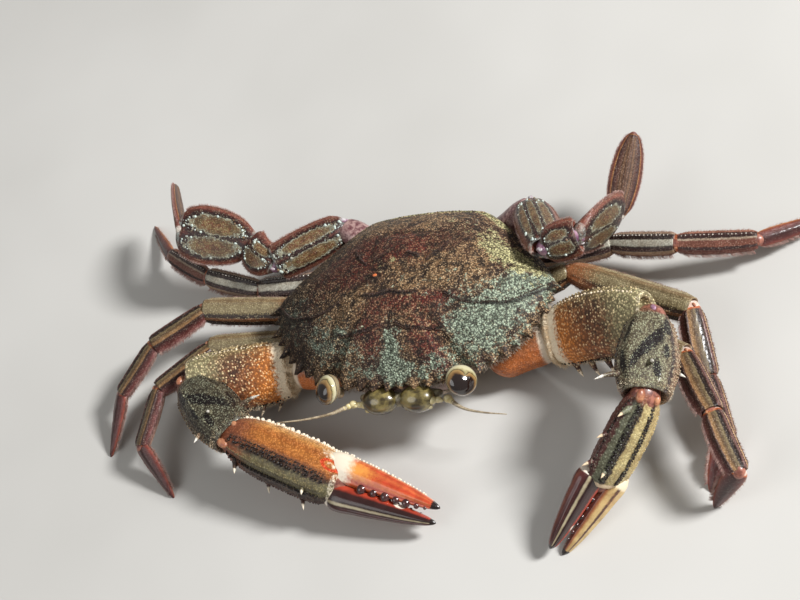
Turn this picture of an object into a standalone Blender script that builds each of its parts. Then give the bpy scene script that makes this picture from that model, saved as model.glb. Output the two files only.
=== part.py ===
"""Red swimming crab: a still, life-size model that crouches with its claws in front.

+X is the crab's left, -Y its front and +Z up. The origin is on the floor under the middle of the
shell, where the belly rests. Lengths below are millimetres, and add_object turns them into metres.
"""

import math

import bmesh
import bpy
from mathutils import Vector

MM = 0.001

# The shell, seen from above
SHELL_WIDTH = 75.0  # over the tips of the last side spines
SHELL_TOP = 25.9
SHELL_UNDER = 12.7  # underside of the overhang, above the legs
SHELL_LIP = 1.9  # thickness of the rim at the teeth
SHELL_MIDDLE = Vector((0.0, 1.0))
FRONT_Y = -22.0
BACK_Y = 25.0
SIDE_ARC_CENTRE = Vector((8.0, 3.0))  # of the toothed front-side margin, a quarter of an ellipse
SIDE_ARC_Y = 23.9
LAST_SPINE = 3.2
SIDE_TEETH = (2.4, 1.5, 2.6, 1.5, 2.7, 1.5, 2.8, 1.7, LAST_SPINE)  # eye corner to side spine
FRONT_TEETH_X = (1.6, 4.9, 8.3, 11.7)
FRONT_TOOTH = 1.7

# The trunk under the shell
GAP = 0.3  # between pieces that meet
TRUNK_TOP = SHELL_UNDER - GAP
TRUNK_RINGS = (  # height, half breadth, front and back
    (0.0, 11.0, -8.5, 15.5), (1.2, 13.5, -11.5, 18.0), (5.0, 19.0, -17.5, 20.5),
    (9.0, 21.5, -21.0, 21.0), (TRUNK_TOP, 22.0, -22.0, 21.5),
)
TAIL_HALF_THICKNESS = 0.75
TAIL_PATH = (  # y, z and half breadth, round the back corner of the belly
    (24.2, 11.6, 6.6), (23.6, 6.6, 6.2), (20.4, 2.4, 5.8), (15.5, 0.75, 5.0),
    (8.0, 0.75, 3.4), (1.0, 0.75, 2.2), (-3.5, 0.75, 1.2),
)
FLOOR = Vector((0.0, 0.0, 0.0))
FLOOR_BITE = 0.25  # how far a toe's round tip is cut off, which leaves the flat that it stands on

# Mouth, face, eyes and feelers
MOUTH_TOP = Vector((0.0, -20.2, TRUNK_TOP))
MOUTH_OUT = Vector((0.0, -0.86, -0.51))
MOUTH_DOWN = Vector((0.0, 0.51, -0.86))
JAW_SIZE = (3.9, 0.9)  # half breadth and half thickness
JAW_LENGTH = 9.4
JAW_DROP = 2.4  # of its upper end, below the top of the mouth
JAW_X = 4.3
FACE_CENTRE = Vector((0.0, -23.7, 12.5))
FACE_ROUNDS = (  # x and radius of the face's bar, which swells at the two round feeler sockets
    (10.2, 0.8), (8.4, 1.4), (7.0, 2.2), (5.6, 2.7), (4.2, 2.9), (2.6, 2.7), (1.2, 2.1), (0.4, 1.3),
)
EYE_START = Vector((14.0, -21.6, 13.6))
EYE_END = Vector((17.4, -22.3, 17.7))
EYE_ROUNDS = (  # place along the eye's line and radius: a thin stalk, then a wide round cornea
    (0.0, 1.2), (0.2, 1.5), (0.36, 2.4), (0.56, 3.4), (0.78, 3.6), (0.98, 2.9), (1.12, 1.7), (1.17, 0.8),
)
FEELERS = {
    "left": ((11.6, -23.9, 12.0), (15.5, -26.4, 11.8), (20.5, -28.0, 12.2), (26.0, -28.4, 11.4)),
    "right": ((-11.6, -23.9, 12.2), (-16.6, -26.6, 13.2), (-22.3, -28.4, 14.6), (-28.5, -29.2, 15.4)),
}
FEELER_RADII = (0.85, 0.55, 0.42, 0.3)

# Each limb runs through these joints: hip, then the far end of each of its five segments
LIMBS = {
    "claw_left": (
        (19.5, -11.5, 7.0), (33.0, -9.0, 9.2), (59.9, -13.6, 20.8),
        (61.0, -32.0, 21.5), (48.5, -43.5, 7.9), (37.4, -56.6, 1.6),
    ),
    "claw_right": (
        (-19.5, -11.5, 7.0), (-31.0, -10.5, 8.0), (-56.0, -16.0, 11.5),
        (-41.0, -30.3, 12.5), (-14.0, -41.4, 8.7), (10.1, -48.8, 4.9),
    ),
    "leg_2_left": (
        (20.3, -3.2, 6.4), (33.0, -3.5, 5.0), (64.9, -17.2, 11.5),
        (72.7, -32.2, 13.5), (78.5, -44.7, 11.0), (70.4, -47.0, -FLOOR_BITE),
    ),
    "leg_3_left": (
        (20.3, 4.0, 7.0), (35.5, 7.9, 10.0), (65.4, -6.0, 12.0),
        (68.4, -19.5, 6.5), (73.0, -33.5, 3.8), (69.3, -43.6, -FLOOR_BITE),
    ),
    "leg_4_left": (
        (18.6, 11.0, 6.6), (25.5, 15.0, 7.0), (43.2, 16.5, 7.0),
        (59.4, 13.4, 9.0), (76.8, 14.2, 6.0), (93.4, 24.2, -FLOOR_BITE),
    ),
    "leg_2_right": (
        (-20.3, -3.2, 6.4), (-31.5, -2.2, 6.0), (-56.0, -3.0, 7.6),
        (-67.0, -14.5, 9.2), (-69.5, -28.5, 7.0), (-62.0, -39.0, -FLOOR_BITE),
    ),
    "leg_3_right": (
        (-20.3, 4.0, 7.0), (-31.5, 5.4, 8.0), (-57.5, 5.4, 11.5),
        (-70.5, -3.0, 11.0), (-79.0, -13.5, 7.0), (-83.0, -27.0, -FLOOR_BITE),
    ),
    "leg_4_right": (
        (-18.6, 11.0, 6.6), (-26.0, 13.3, 6.8), (-46.0, 13.0, 7.0),
        (-61.5, 17.5, 8.0), (-76.0, 27.0, 5.5), (-88.0, 41.0, -FLOOR_BITE),
    ),
    "swim_leg_left": (
        (12.6, 20.0, 7.0), (25.0, 24.5, 13.3), (34.0, 7.8, 21.0),
        (41.7, 9.1, 22.0), (46.1, 20.7, 12.0), (50.8, 36.9, 20.0),
    ),
    "swim_leg_right": (
        (-12.6, 20.0, 7.4), (-23.7, 25.4, 11.5), (-39.7, 16.3, 12.8),
        (-46.7, 21.8, 14.5), (-64.7, 24.3, 19.4), (-72.3, 40.8, 16.3),
    ),
}
SEGMENTS = ("ischium", "merus", "carpus", "propodus", "dactylus")

# Half the breadth and half the thickness of each segment, hip to tip
LIMB_SIZES = {
    "claw": ((4.6, 3.4), (7.2, 3.4), (6.4, 4.6), (6.2, 4.2), (2.65, 2.0)),
    "leg": ((2.8, 2.4), (3.1, 2.1), (2.8, 2.0), (2.5, 1.5), (2.2, 1.1)),
    "swim": ((3.2, 2.8), (4.6, 2.6), (4.2, 2.3), (6.7, 1.3), (3.3, 0.9)),
}
SLIM_PALM = (4.6, 3.8)  # of the left claw

# How far the two fingers of a claw lie to each side of its line, at the root and at the tip
FINGER_SPREAD = 3.2
TIP_SPREAD = 1.7
THUMB_SETBACK = 2.0  # the fixed finger starts this far inside the palm

# How far the middle of a curved segment lies off the line between its joints, across its breadth
BOWS = {"claw_left_merus": -1.3, "swim_leg_right_carpus": -1.4}

# The way that each limb's broad faces look
UP_LEFT = Vector((0.43, -0.50, 0.75))
UP_RIGHT = Vector((-0.43, -0.40, 0.80))
FACINGS = {
    "claw_left": (UP_LEFT, UP_LEFT, UP_LEFT, Vector((0.80, -0.30, 0.50)), Vector((0.80, -0.30, 0.50))),
    "claw_right": (UP_LEFT,) * 5,
    "swim_leg_left": (
        Vector((0.2, 0.3, 0.9)), UP_LEFT, UP_LEFT, Vector((0.84, -0.47, -0.23)), UP_LEFT,
    ),
    "swim_leg_right": (
        Vector((-0.2, 0.3, 0.9)), UP_LEFT, UP_LEFT, UP_LEFT, Vector((-0.90, -0.41, 0.10)),
    ),
}

# A segment's outline: place along it, then breadth and thickness there as parts of the largest
OUTLINES = {
    "ischium": ((-0.1, 0.8, 0.8), (0.0, 0.9, 0.9), (0.5, 1.0, 1.0), (1.0, 0.9, 0.9), (1.1, 0.75, 0.75)),
    "merus": (
        (-0.07, 0.4, 0.5), (0.0, 0.62, 0.7), (0.15, 0.85, 0.9), (0.45, 1.0, 1.0),
        (0.8, 0.98, 1.0), (0.95, 0.85, 0.9), (1.05, 0.5, 0.6),
    ),
    "carpus": (
        (-0.15, 0.4, 0.45), (0.0, 0.62, 0.65), (0.25, 0.92, 0.95), (0.6, 1.0, 1.0),
        (0.9, 0.88, 0.9), (1.1, 0.55, 0.6),
    ),
    "palm": (
        (-0.12, 0.4, 0.5), (0.0, 0.62, 0.68), (0.2, 0.9, 0.92), (0.55, 1.0, 1.0),
        (0.9, 0.95, 0.85), (1.0, 0.86, 0.72), (1.05, 0.6, 0.5),
    ),
    "propodus": (
        (-0.08, 0.5, 0.6), (0.0, 0.72, 0.8), (0.3, 1.0, 1.0), (0.75, 0.95, 0.95),
        (1.0, 0.75, 0.8), (1.07, 0.45, 0.5),
    ),
    "plate": (
        (-0.1, 0.3, 0.9), (0.0, 0.45, 1.25), (0.2, 0.8, 1.15), (0.5, 1.0, 1.0),
        (0.8, 0.98, 1.0), (1.0, 0.72, 1.0), (1.07, 0.35, 0.8),
    ),
    "dactylus": (
        (-0.08, 0.55, 0.7), (0.0, 0.75, 0.9), (0.25, 1.0, 1.0), (0.6, 0.72, 0.8),
        (0.88, 0.36, 0.5), (0.97, 0.2, 0.35),
    ),
    "paddle": (
        (-0.06, 0.4, 1.3), (0.02, 0.6, 1.3), (0.25, 0.95, 1.1), (0.55, 1.0, 1.0),
        (0.8, 0.76, 0.85), (0.95, 0.38, 0.6), (1.0, 0.12, 0.5),
    ),
    "finger": (
        (-0.08, 0.8, 0.8), (0.0, 1.0, 1.0), (0.25, 1.0, 1.0), (0.55, 0.8, 0.85),
        (0.82, 0.52, 0.6), (0.96, 0.28, 0.35), (1.0, 0.12, 0.18),
    ),
}
SIDES = {"claw": 12, "leg": 10, "swim": 12}

# Spines: place along the segment, turn round it from the forward edge in degrees, length
CLAW_SPINES = {
    "merus": ((0.2, 0.0, 2.4), (0.36, 0.0, 2.8), (0.52, 0.0, 3.0), (0.67, 0.0, 2.8)),
    "carpus": ((0.8, 10.0, 5.0), (0.7, 90.0, 2.4), (0.72, 150.0, 2.4)),
    "propodus": ((0.14, 25.0, 2.2), (0.45, 5.0, 2.6), (0.78, 5.0, 2.8), (0.8, 50.0, 2.0)),
}
SPINE_ROOT = 1.1
SPINE_ROOT_DEPTH = 0.72  # of the way from the segment's middle to its skin
SPINE_LEAN = 0.5

COLOURS = {
    "shell": (0.115, 0.060, 0.040),
    "pale": (0.330, 0.260, 0.190),
    "claw": (0.160, 0.110, 0.060),
    "finger": (0.060, 0.014, 0.010),
    "leg": (0.140, 0.055, 0.040),
    "eye": (0.045, 0.028, 0.012),
    "feeler": (0.210, 0.150, 0.080),
}


def new_collection(name, rendered=True):
    collection = bpy.data.collections.new(name)
    collection.hide_render = not rendered
    bpy.context.scene.collection.children.link(collection)
    return collection


def material(name, roughness):
    """A plain Principled material in the part's colour."""
    made = bpy.data.materials.get(name)
    if made is None:
        made = bpy.data.materials.new(name)
        made.use_nodes = True
        shader = made.node_tree.nodes["Principled BSDF"]
        shader.inputs["Base Color"].default_value = (*COLOURS[name], 1.0)
        shader.inputs["Roughness"].default_value = roughness
    return made


def add_object(name, mesh_edit, finish, collection, roughness=0.5):
    """Ends an edit mesh in millimetres as an object in metres."""
    bmesh.ops.recalc_face_normals(mesh_edit, faces=mesh_edit.faces)
    bmesh.ops.scale(mesh_edit, vec=(MM, MM, MM), verts=mesh_edit.verts)
    mesh = bpy.data.meshes.new(name)
    mesh_edit.to_mesh(mesh)
    mesh_edit.free()
    made = bpy.data.objects.new(name, mesh)
    mesh.materials.append(material(finish, roughness))
    collection.objects.link(made)
    return made


def loft(rings):
    """A closed skin over rings of the same number of points, flat at both ends."""
    mesh_edit = bmesh.new()
    rows = [[mesh_edit.verts.new(point) for point in ring] for ring in rings]
    count = len(rows[0])
    for first, second in zip(rows, rows[1:]):
        for i in range(count):
            j = (i + 1) % count
            mesh_edit.faces.new((first[i], first[j], second[j], second[i]))
    mesh_edit.faces.new(rows[0])
    mesh_edit.faces.new(rows[-1])
    return mesh_edit


def rounded(angle, power):
    """A point of a superellipse, which is rounder than a box and boxier than an ellipse."""
    x, y = math.cos(angle), math.sin(angle)
    return math.copysign(abs(x) ** (2 / power), x), math.copysign(abs(y) ** (2 / power), y)


def clip(mesh_edit, point, normal):
    """Cuts away what lies beyond a plane and closes the cut."""
    geometry = list(mesh_edit.verts) + list(mesh_edit.edges) + list(mesh_edit.faces)
    bmesh.ops.bisect_plane(mesh_edit, geom=geometry, plane_co=point, plane_no=normal, clear_outer=True)
    open_edges = [edge for edge in mesh_edit.edges if edge.is_boundary]
    if open_edges:
        bmesh.ops.contextual_create(mesh_edit, geom=open_edges)


def segment_frame(start, end, facing):
    """Unit vectors along the segment, across its breadth and out of its broad face."""
    along = (end - start).normalized()
    out = (facing - along * facing.dot(along)).normalized()
    return along, along.cross(out), out


def segment_rings(start, end, facing, outline, size, sides=12, power=2.3, bow=0.0):
    """Superelliptic sections from joint to joint. Size is half the breadth and half the thickness."""
    _, across, out = segment_frame(start, end, facing)
    rings = []
    for place, breadth, thickness in outline:
        centre = start.lerp(end, place) + across * bow * 4 * place * (1 - place)
        ring = []
        for i in range(sides):
            x, y = rounded(2 * math.pi * (i + 0.5) / sides, power)
            ring.append(centre + across * x * breadth * size[0] + out * y * thickness * size[1])
        rings.append(ring)
    return rings


def cone(mesh_edit, root, tip, radius, sides=6):
    """A six-sided spine from inside the skin to its tip."""
    along = (tip - root).normalized()
    turn = Vector((0, 0, 1)).rotation_difference(along).to_matrix().to_4x4()
    turn.translation = (root + tip) / 2
    bmesh.ops.create_cone(
        mesh_edit, cap_ends=True, segments=sides, radius1=radius, radius2=0.18,
        depth=(tip - root).length, matrix=turn,
    )


def join_to(piece, extra, name, helpers):
    """Unites an edit mesh of spines or fingers with the piece that they grow from."""
    helper = add_object(name, extra, "pale", helpers)
    helper.hide_render = True
    helper.display_type = "WIRE"
    union = piece.modifiers.new("grown_on", "BOOLEAN")
    union.operation = "UNION"
    union.object = helper


def spines_of(start, end, facing, size, table, side):
    """A segment's spines, which lean towards its far end. Side -1 puts them on the other edge."""
    along, across, out = segment_frame(start, end, facing)
    mesh_edit = bmesh.new()
    for place, turn, length in table:
        angle = math.radians(turn)
        outwards = across * side * math.cos(angle) * size[0] + out * math.sin(angle) * size[1]
        middle = start.lerp(end, place)
        root = middle + outwards * SPINE_ROOT_DEPTH
        tip = middle + outwards + outwards.normalized() * length + along * length * SPINE_LEAN
        cone(mesh_edit, root, tip, SPINE_ROOT)
    return mesh_edit


def half_margin():
    """Half of the shell's edge from the front's middle to the back's: root, tooth and height."""
    points = [(Vector((0.0, FRONT_Y)), Vector((0, 0)), 17.0)]
    last = 0.0
    for x in FRONT_TEETH_X:
        y = FRONT_Y + 0.007 * x * x
        points.append((Vector((x, y)), Vector((0.15, -1.0)) * FRONT_TOOTH, 17.0))
        points.append((Vector((x + (x - last) / 2, y + 0.1)), Vector((0, 0)), 17.0))
        last = x - 0.1
    for x, y in ((13.3, -19.6), (15.0, -17.9), (17.0, -17.7), (18.5, -18.2)):
        points.append((Vector((x, y)), Vector((0, 0)), 16.6))
    count = len(SIDE_TEETH)
    arc_x = SHELL_WIDTH / 2 - LAST_SPINE - SIDE_ARC_CENTRE.x
    for i, length in enumerate(SIDE_TEETH):
        for part, size in ((0.0, length), (0.5, 0.0)):
            angle = math.radians(63.0 - 59.0 * (i + part) / (count - 1))
            radial = Vector((math.cos(angle), -math.sin(angle)))
            root = SIDE_ARC_CENTRE + Vector((radial.x * arc_x, radial.y * SIDE_ARC_Y))
            forward = Vector((-radial.y, radial.x)) * -0.35
            height = 16.4 - 1.1 * (i + part) / (count - 1)
            points.append((root, (radial + forward).normalized() * size, height))
    for x, y, height in (
        (32.6, 5.6, 15.1), (29.0, 10.2, 14.8), (25.0, 14.6, 14.5), (20.8, 18.8, 14.2),
        (17.0, 22.2, 14.0), (14.0, 24.0, 13.9), (9.5, 24.7, 14.0), (4.8, BACK_Y, 14.2),
    ):
        points.append((Vector((x, y)), Vector((0, 0)), height))
    points.append((Vector((0.0, BACK_Y + 0.1)), Vector((0, 0)), 14.2))
    return points


def whole_margin():
    """The half margin and its mirror image, once round."""
    half = half_margin()
    mirrored = [
        (Vector((-root.x, root.y)), Vector((-tooth.x, tooth.y)), height)
        for root, tooth, height in reversed(half[1:-1])
    ]
    return half + mirrored


def build_shell(parts):
    """The domed shell, toothed along its front and sides, with a thin overhanging rim."""
    margin = whole_margin()
    rings = []
    under = [(0.88, SHELL_UNDER), (0.94, SHELL_UNDER)]
    for reach, height in under:
        rings.append([(*SHELL_MIDDLE.lerp(root, reach), height) for root, _, _ in margin])
    rings.append([
        (*SHELL_MIDDLE.lerp(root, 0.985), max(height - SHELL_LIP, SHELL_UNDER + 0.1))
        for root, _, height in margin
    ])
    rings.append([(*(root + tooth), height - 0.5) for root, tooth, height in margin])
    for reach in (0.99, 0.93, 0.84, 0.7, 0.5, 0.28, 0.1):
        rise = 1 - reach**2.5
        rings.append([
            (*SHELL_MIDDLE.lerp(root, reach), height + (SHELL_TOP - height) * rise)
            for root, _, height in margin
        ])
    add_object("carapace", loft(rings), "shell", parts)


def trunk_ring(height, half_x, front, back, power=2.6, count=28):
    """A level superelliptic ring of the trunk."""
    ring = []
    for i in range(count):
        x, y = rounded(2 * math.pi * (i + 0.5) / count, power)
        ring.append(Vector((x * half_x, (front + back) / 2 + y * (back - front) / 2, height)))
    return ring


def build_trunk(parts, helpers):
    """The breastplate with its flat belly: cut flat at each hip and at the mouth."""
    mesh_edit = loft([trunk_ring(*values) for values in TRUNK_RINGS])
    for joints in LIMBS.values():
        hip, knee = Vector(joints[0]), Vector(joints[1])
        outwards = (knee - hip).normalized()
        clip(mesh_edit, hip - outwards * GAP / 2, outwards)
    clip(mesh_edit, MOUTH_TOP, MOUTH_OUT)
    trunk = add_object("thorax", mesh_edit, "pale", parts)
    groove = add_object("belly_groove", abdomen_mesh(GAP), "pale", helpers)
    groove.hide_render = True
    groove.display_type = "WIRE"
    cut = trunk.modifiers.new("groove", "BOOLEAN")
    cut.operation = "DIFFERENCE"
    cut.object = groove


def abdomen_mesh(extra):
    """The narrow tail flap, folded under the belly: a strip that turns the back corner."""
    last = len(TAIL_PATH) - 1
    half_thickness = TAIL_HALF_THICKNESS + extra
    rings = []
    for i, (y, z, half_width) in enumerate(TAIL_PATH):
        before, after = TAIL_PATH[max(i - 1, 0)], TAIL_PATH[min(i + 1, last)]
        along = Vector((0, after[0] - before[0], after[1] - before[1])).normalized()
        out = along.cross(Vector((1, 0, 0)))
        end = extra * ((i == last) - (i == 0))
        centre = Vector((0, y, z)) + along * end
        wide = half_width + extra
        rings.append([
            centre + Vector((x * wide, 0, 0)) + out * y_side * half_thickness
            for x, y_side in ((-1, -1), (0, -1), (1, -1), (1, 1), (0, 1), (-1, 1))
        ])
    return loft(rings)


def build_mouthparts(parts):
    """Two flat jaw feet that close the mouth, and the face plate above them with two feeler roots."""
    for side, sign in (("left", 1), ("right", -1)):
        top = MOUTH_TOP + MOUTH_OUT * (GAP + JAW_SIZE[1]) + MOUTH_DOWN * JAW_DROP
        top = top + Vector((sign * JAW_X, 0, 0))
        rings = segment_rings(
            top, top + MOUTH_DOWN * JAW_LENGTH, MOUTH_OUT,
            ((0.0, 0.82, 0.7), (0.12, 1.0, 1.0), (0.5, 1.0, 1.0), (0.85, 0.82, 0.9), (1.0, 0.4, 0.6)),
            JAW_SIZE, power=3.0,
        )
        add_object(f"maxilliped_{side}", loft(rings), "claw", parts)
    rings = []
    for x, radius in [(-x, radius) for x, radius in FACE_ROUNDS] + list(reversed(FACE_ROUNDS)):
        centre = FACE_CENTRE + Vector((x, 0.01 * x * x, 0.0))
        rings.append([
            centre + Vector((0, radius * math.cos(a), radius * math.sin(a)))
            for a in (2 * math.pi * (i + 0.5) / 12 for i in range(12))
        ])
    add_object("face_plate", loft(rings), "pale", parts)


def build_eyes(parts):
    """A glossy eye on a short stalk, set in the notch of the shell's edge."""
    for side, sign in (("left", 1), ("right", -1)):
        rings = []
        mirror = Vector((sign, 1, 1))
        start, end = EYE_START * mirror, EYE_END * mirror
        _, across, out = segment_frame(start, end, Vector((0, -1, 0)))
        for place, radius in EYE_ROUNDS:
            centre = start.lerp(end, place)
            rings.append([
                centre + (across * math.cos(a) + out * math.sin(a)) * radius
                for a in (2 * math.pi * i / 12 for i in range(12))
            ])
        add_object(f"eye_{side}", loft(rings), "eye", parts, roughness=0.12)


def build_feelers(parts):
    """Each long feeler: a thick root and a thin tapering lash."""
    for side, points in FEELERS.items():
        rings = []
        for i, point in enumerate(points):
            before, after = Vector(points[max(i - 1, 0)]), Vector(points[min(i + 1, len(points) - 1)])
            _, across, out = segment_frame(before, after, Vector((0, 0, 1)))
            rings.append([
                Vector(point) + (across * math.cos(a) + out * math.sin(a)) * FEELER_RADII[i]
                for a in (2 * math.pi * k / 6 for k in range(6))
            ])
        add_object(f"antenna_{side}", loft(rings), "feeler", parts)


def outline_of(kind, segment):
    """The outline of a segment, whose name tells what it has grown into on a claw or a paddle leg."""
    if kind == "claw":
        return OUTLINES[{"propodus": "palm", "dactylus": "finger"}.get(segment, segment)]
    if kind == "swim":
        return OUTLINES[{"propodus": "plate", "dactylus": "paddle"}.get(segment, segment)]
    return OUTLINES[segment]


def build_limb(name, parts, helpers):
    """Five segments from hip to tip, parted by a thin cut across each joint."""
    kind = name.split("_")[0]
    joints = [Vector(joint) for joint in LIMBS[name]]
    facings = FACINGS.get(name, (UP_LEFT if "left" in name else UP_RIGHT,) * 5)
    ways = [(b - a).normalized() for a, b in zip(joints, joints[1:])]
    for i, segment in enumerate(SEGMENTS):
        start, end = joints[i], joints[i + 1]
        size = SLIM_PALM if (name, segment) == ("claw_left", "propodus") else LIMB_SIZES[kind][i]
        bow = BOWS.get(f"{name}_{segment}", 0.0)
        if kind == "claw" and segment == "dactylus":
            mesh_edit = finger_mesh(joints, facings[i], 1)
        else:
            mesh_edit = loft(segment_rings(
                start, end, facings[i], outline_of(kind, segment), size, SIDES[kind], bow=bow,
            ))
        before = ways[i] if i == 0 else (ways[i - 1] + ways[i]).normalized()
        clip(mesh_edit, start + before * GAP / 2, -before)
        if i < 4:
            after = (ways[i] + ways[i + 1]).normalized()
            clip(mesh_edit, end - after * GAP / 2, after)
        if kind == "leg" and segment == "dactylus":
            clip(mesh_edit, FLOOR, Vector((0, 0, -1)))
        finish = {"claw": "finger" if segment == "dactylus" else "claw"}.get(kind, "leg")
        piece = add_object(f"{name}_{segment}", mesh_edit, finish, parts)
        if kind == "claw" and segment in CLAW_SPINES:
            side = -1 if "right" in name and segment != "propodus" else 1
            grown = spines_of(start, end, facings[i], size, CLAW_SPINES[segment], side)
            join_to(piece, grown, f"{name}_{segment}_spines", helpers)
        if kind == "claw" and segment == "propodus":
            join_to(piece, finger_mesh(joints, facings[i], -1), f"{name}_thumb", helpers)


def finger_mesh(joints, facing, side):
    """The moving finger (side 1) or the fixed one (side -1), kept clear of the floor."""
    palm_start, hinge, tip = joints[3], joints[4], joints[5]
    across = segment_frame(hinge, tip, facing)[1]
    start = hinge + across * side * FINGER_SPREAD
    if side < 0:
        start = start - (hinge - palm_start).normalized() * THUMB_SETBACK
    end = tip + across * side * TIP_SPREAD
    mesh_edit = loft(segment_rings(start, end, facing, OUTLINES["finger"], LIMB_SIZES["claw"][4]))
    clip(mesh_edit, FLOOR + Vector((0, 0, GAP)), Vector((0, 0, -1)))
    return mesh_edit


def build():
    for old in list(bpy.data.objects):
        bpy.data.objects.remove(old)
    parts = new_collection("red_swimming_crab")
    helpers = new_collection("helpers", rendered=False)
    build_shell(parts)
    build_trunk(parts, helpers)
    add_object("abdomen", abdomen_mesh(0.0), "pale", parts)
    build_mouthparts(parts)
    build_eyes(parts)
    build_feelers(parts)
    for name in LIMBS:
        build_limb(name, parts, helpers)


build()
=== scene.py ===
"""Looks of the red swimming crab: its shell plates, eyes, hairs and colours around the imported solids.

Shapes are worked out in millimetres in the row frame (+X the crab's left, -Y its front, +Z up) and
turned into metres as each mesh is made.
"""

import math

import bpy
import numpy as np
from mathutils import Matrix, Vector
from mathutils.kdtree import KDTree
from mathutils.noise import fractal


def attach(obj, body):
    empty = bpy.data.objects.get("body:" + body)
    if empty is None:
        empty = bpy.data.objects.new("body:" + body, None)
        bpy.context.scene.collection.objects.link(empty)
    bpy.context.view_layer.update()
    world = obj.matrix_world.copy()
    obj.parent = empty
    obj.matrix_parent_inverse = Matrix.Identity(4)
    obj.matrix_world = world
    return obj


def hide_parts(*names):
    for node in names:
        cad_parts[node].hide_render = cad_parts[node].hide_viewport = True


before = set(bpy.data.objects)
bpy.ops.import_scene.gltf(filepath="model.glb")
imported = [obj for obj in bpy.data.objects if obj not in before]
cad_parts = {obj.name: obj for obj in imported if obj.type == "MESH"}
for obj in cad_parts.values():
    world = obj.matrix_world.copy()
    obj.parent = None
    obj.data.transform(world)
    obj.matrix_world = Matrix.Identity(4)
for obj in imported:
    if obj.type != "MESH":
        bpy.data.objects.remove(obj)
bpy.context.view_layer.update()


# Floor, light and camera. The animal lies on a plain pale floor in soft light, and the camera looks
# down on its left front quarter from 46 cm, rolled so that its left side points to the picture's right.
MM = 0.001
IMAGE = (800, 600)
SENSOR = 36.0
VIEW_TURN = math.radians(40.5)
VIEW_HEIGHT = math.radians(49.0)
VIEW_ROLL = math.radians(-38.0)
VIEW_DISTANCE = 457.0
VIEW_AIM = Vector((0.0, 0.0, 15.0))  # the middle of the body
AIM_PIXEL = (411.7, 303.0)  # where the photograph shows it
PIXELS_PER_MM = 4.41  # there
FLOOR_SIZE = 6.0  # in metres, as the lamps are
FLOOR_TONES = ((0.50, 0.49, 0.465, 1), (0.56, 0.55, 0.525, 1))
SKY_COLOUR = (0.90, 0.89, 0.87, 1)
SKY_STRENGTH = 0.27
LAMP_DISTANCE = 1.2

view_back = Vector((
    math.sin(VIEW_TURN) * math.cos(VIEW_HEIGHT),
    -math.cos(VIEW_TURN) * math.cos(VIEW_HEIGHT),
    math.sin(VIEW_HEIGHT),
))
level_right = Vector((math.cos(VIEW_TURN), math.sin(VIEW_TURN), 0.0))
level_up = view_back.cross(level_right)
view_right = level_right * math.cos(VIEW_ROLL) + level_up * math.sin(VIEW_ROLL)
view_up = level_up * math.cos(VIEW_ROLL) - level_right * math.sin(VIEW_ROLL)
camera_place = (
    VIEW_AIM + view_back * VIEW_DISTANCE
    - view_right * (AIM_PIXEL[0] - IMAGE[0] / 2) / PIXELS_PER_MM
    + view_up * (AIM_PIXEL[1] - IMAGE[1] / 2) / PIXELS_PER_MM
)
camera = bpy.data.objects.new("camera", bpy.data.cameras.new("camera"))
camera.data.sensor_width = SENSOR
camera.data.lens = PIXELS_PER_MM * VIEW_DISTANCE * SENSOR / IMAGE[0]
camera.data.clip_start = 0.01
camera.matrix_world = Matrix.Translation(camera_place * MM) @ Matrix(
    (view_right, view_up, view_back)
).transposed().to_4x4()
bpy.context.scene.collection.objects.link(camera)
bpy.context.scene.camera = camera
bpy.context.scene.view_settings.view_transform = "Standard"


def wire(tree, socket, value):
    """Fills an input with a value, or with a link from another node's output."""
    if isinstance(value, bpy.types.NodeSocket):
        tree.links.new(value, socket)
    else:
        socket.default_value = value


def add_node(tree, kind, inputs=None, **settings):
    """A new node with its settings and its inputs, which are given by name or by number."""
    made = tree.nodes.new(kind)
    for key, value in settings.items():
        setattr(made, key, value)
    for key, value in (inputs or {}).items():
        wire(tree, made.inputs[key], value)
    return made


def new_material(name, **constants):
    """A Principled material: its node tree and its shader, whose even values are set on the sockets."""
    made = bpy.data.materials.new(name)
    made.use_nodes = True
    shader = made.node_tree.nodes["Principled BSDF"]
    for key, value in constants.items():
        shader.inputs[key.replace("_", " ")].default_value = value
    return made, made.node_tree, shader


def place_of(tree):
    """Object coordinates, which are metres in the row frame."""
    return add_node(tree, "ShaderNodeTexCoord").outputs["Object"]


def parts_of(tree, value):
    """The three parts of a vector."""
    return add_node(tree, "ShaderNodeSeparateXYZ", {0: value}).outputs


def noise(tree, place, scale, detail=3.0, roughness=0.55):
    """Smooth noise from 0 to 1 at so many features to the metre."""
    inputs = {"Vector": place, "Scale": scale, "Detail": detail, "Roughness": roughness}
    return add_node(tree, "ShaderNodeTexNoise", inputs).outputs[0]


def spread(tree, value, low, high, out_low=0.0, out_high=1.0):
    """The value's stretch from low to high laid smoothly over the second range."""
    inputs = {0: value, 1: low, 2: high, 3: out_low, 4: out_high}
    return add_node(tree, "ShaderNodeMapRange", inputs, interpolation_type="SMOOTHSTEP").outputs[0]


def maths(tree, operation, first, second=0.0):
    """One step of arithmetic."""
    return add_node(tree, "ShaderNodeMath", {0: first, 1: second}, operation=operation).outputs[0]


def over(tree, mask, below, above, blend="MIX"):
    """One colour laid over another where the mask is 1."""
    inputs = {0: mask, 6: below, 7: above}
    return add_node(tree, "ShaderNodeMix", inputs, data_type="RGBA", blend_type=blend).outputs[2]


floor_material, tree, shader = new_material("floor_paper", Roughness=0.9)
tone = spread(tree, noise(tree, place_of(tree), 9.0), 0.3, 0.7)
wire(tree, shader.inputs["Base Color"], over(tree, tone, *FLOOR_TONES))
bpy.ops.mesh.primitive_plane_add(size=FLOOR_SIZE)
floor = bpy.context.object
floor.name = "floor"
floor.data.materials.append(floor_material)

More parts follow.
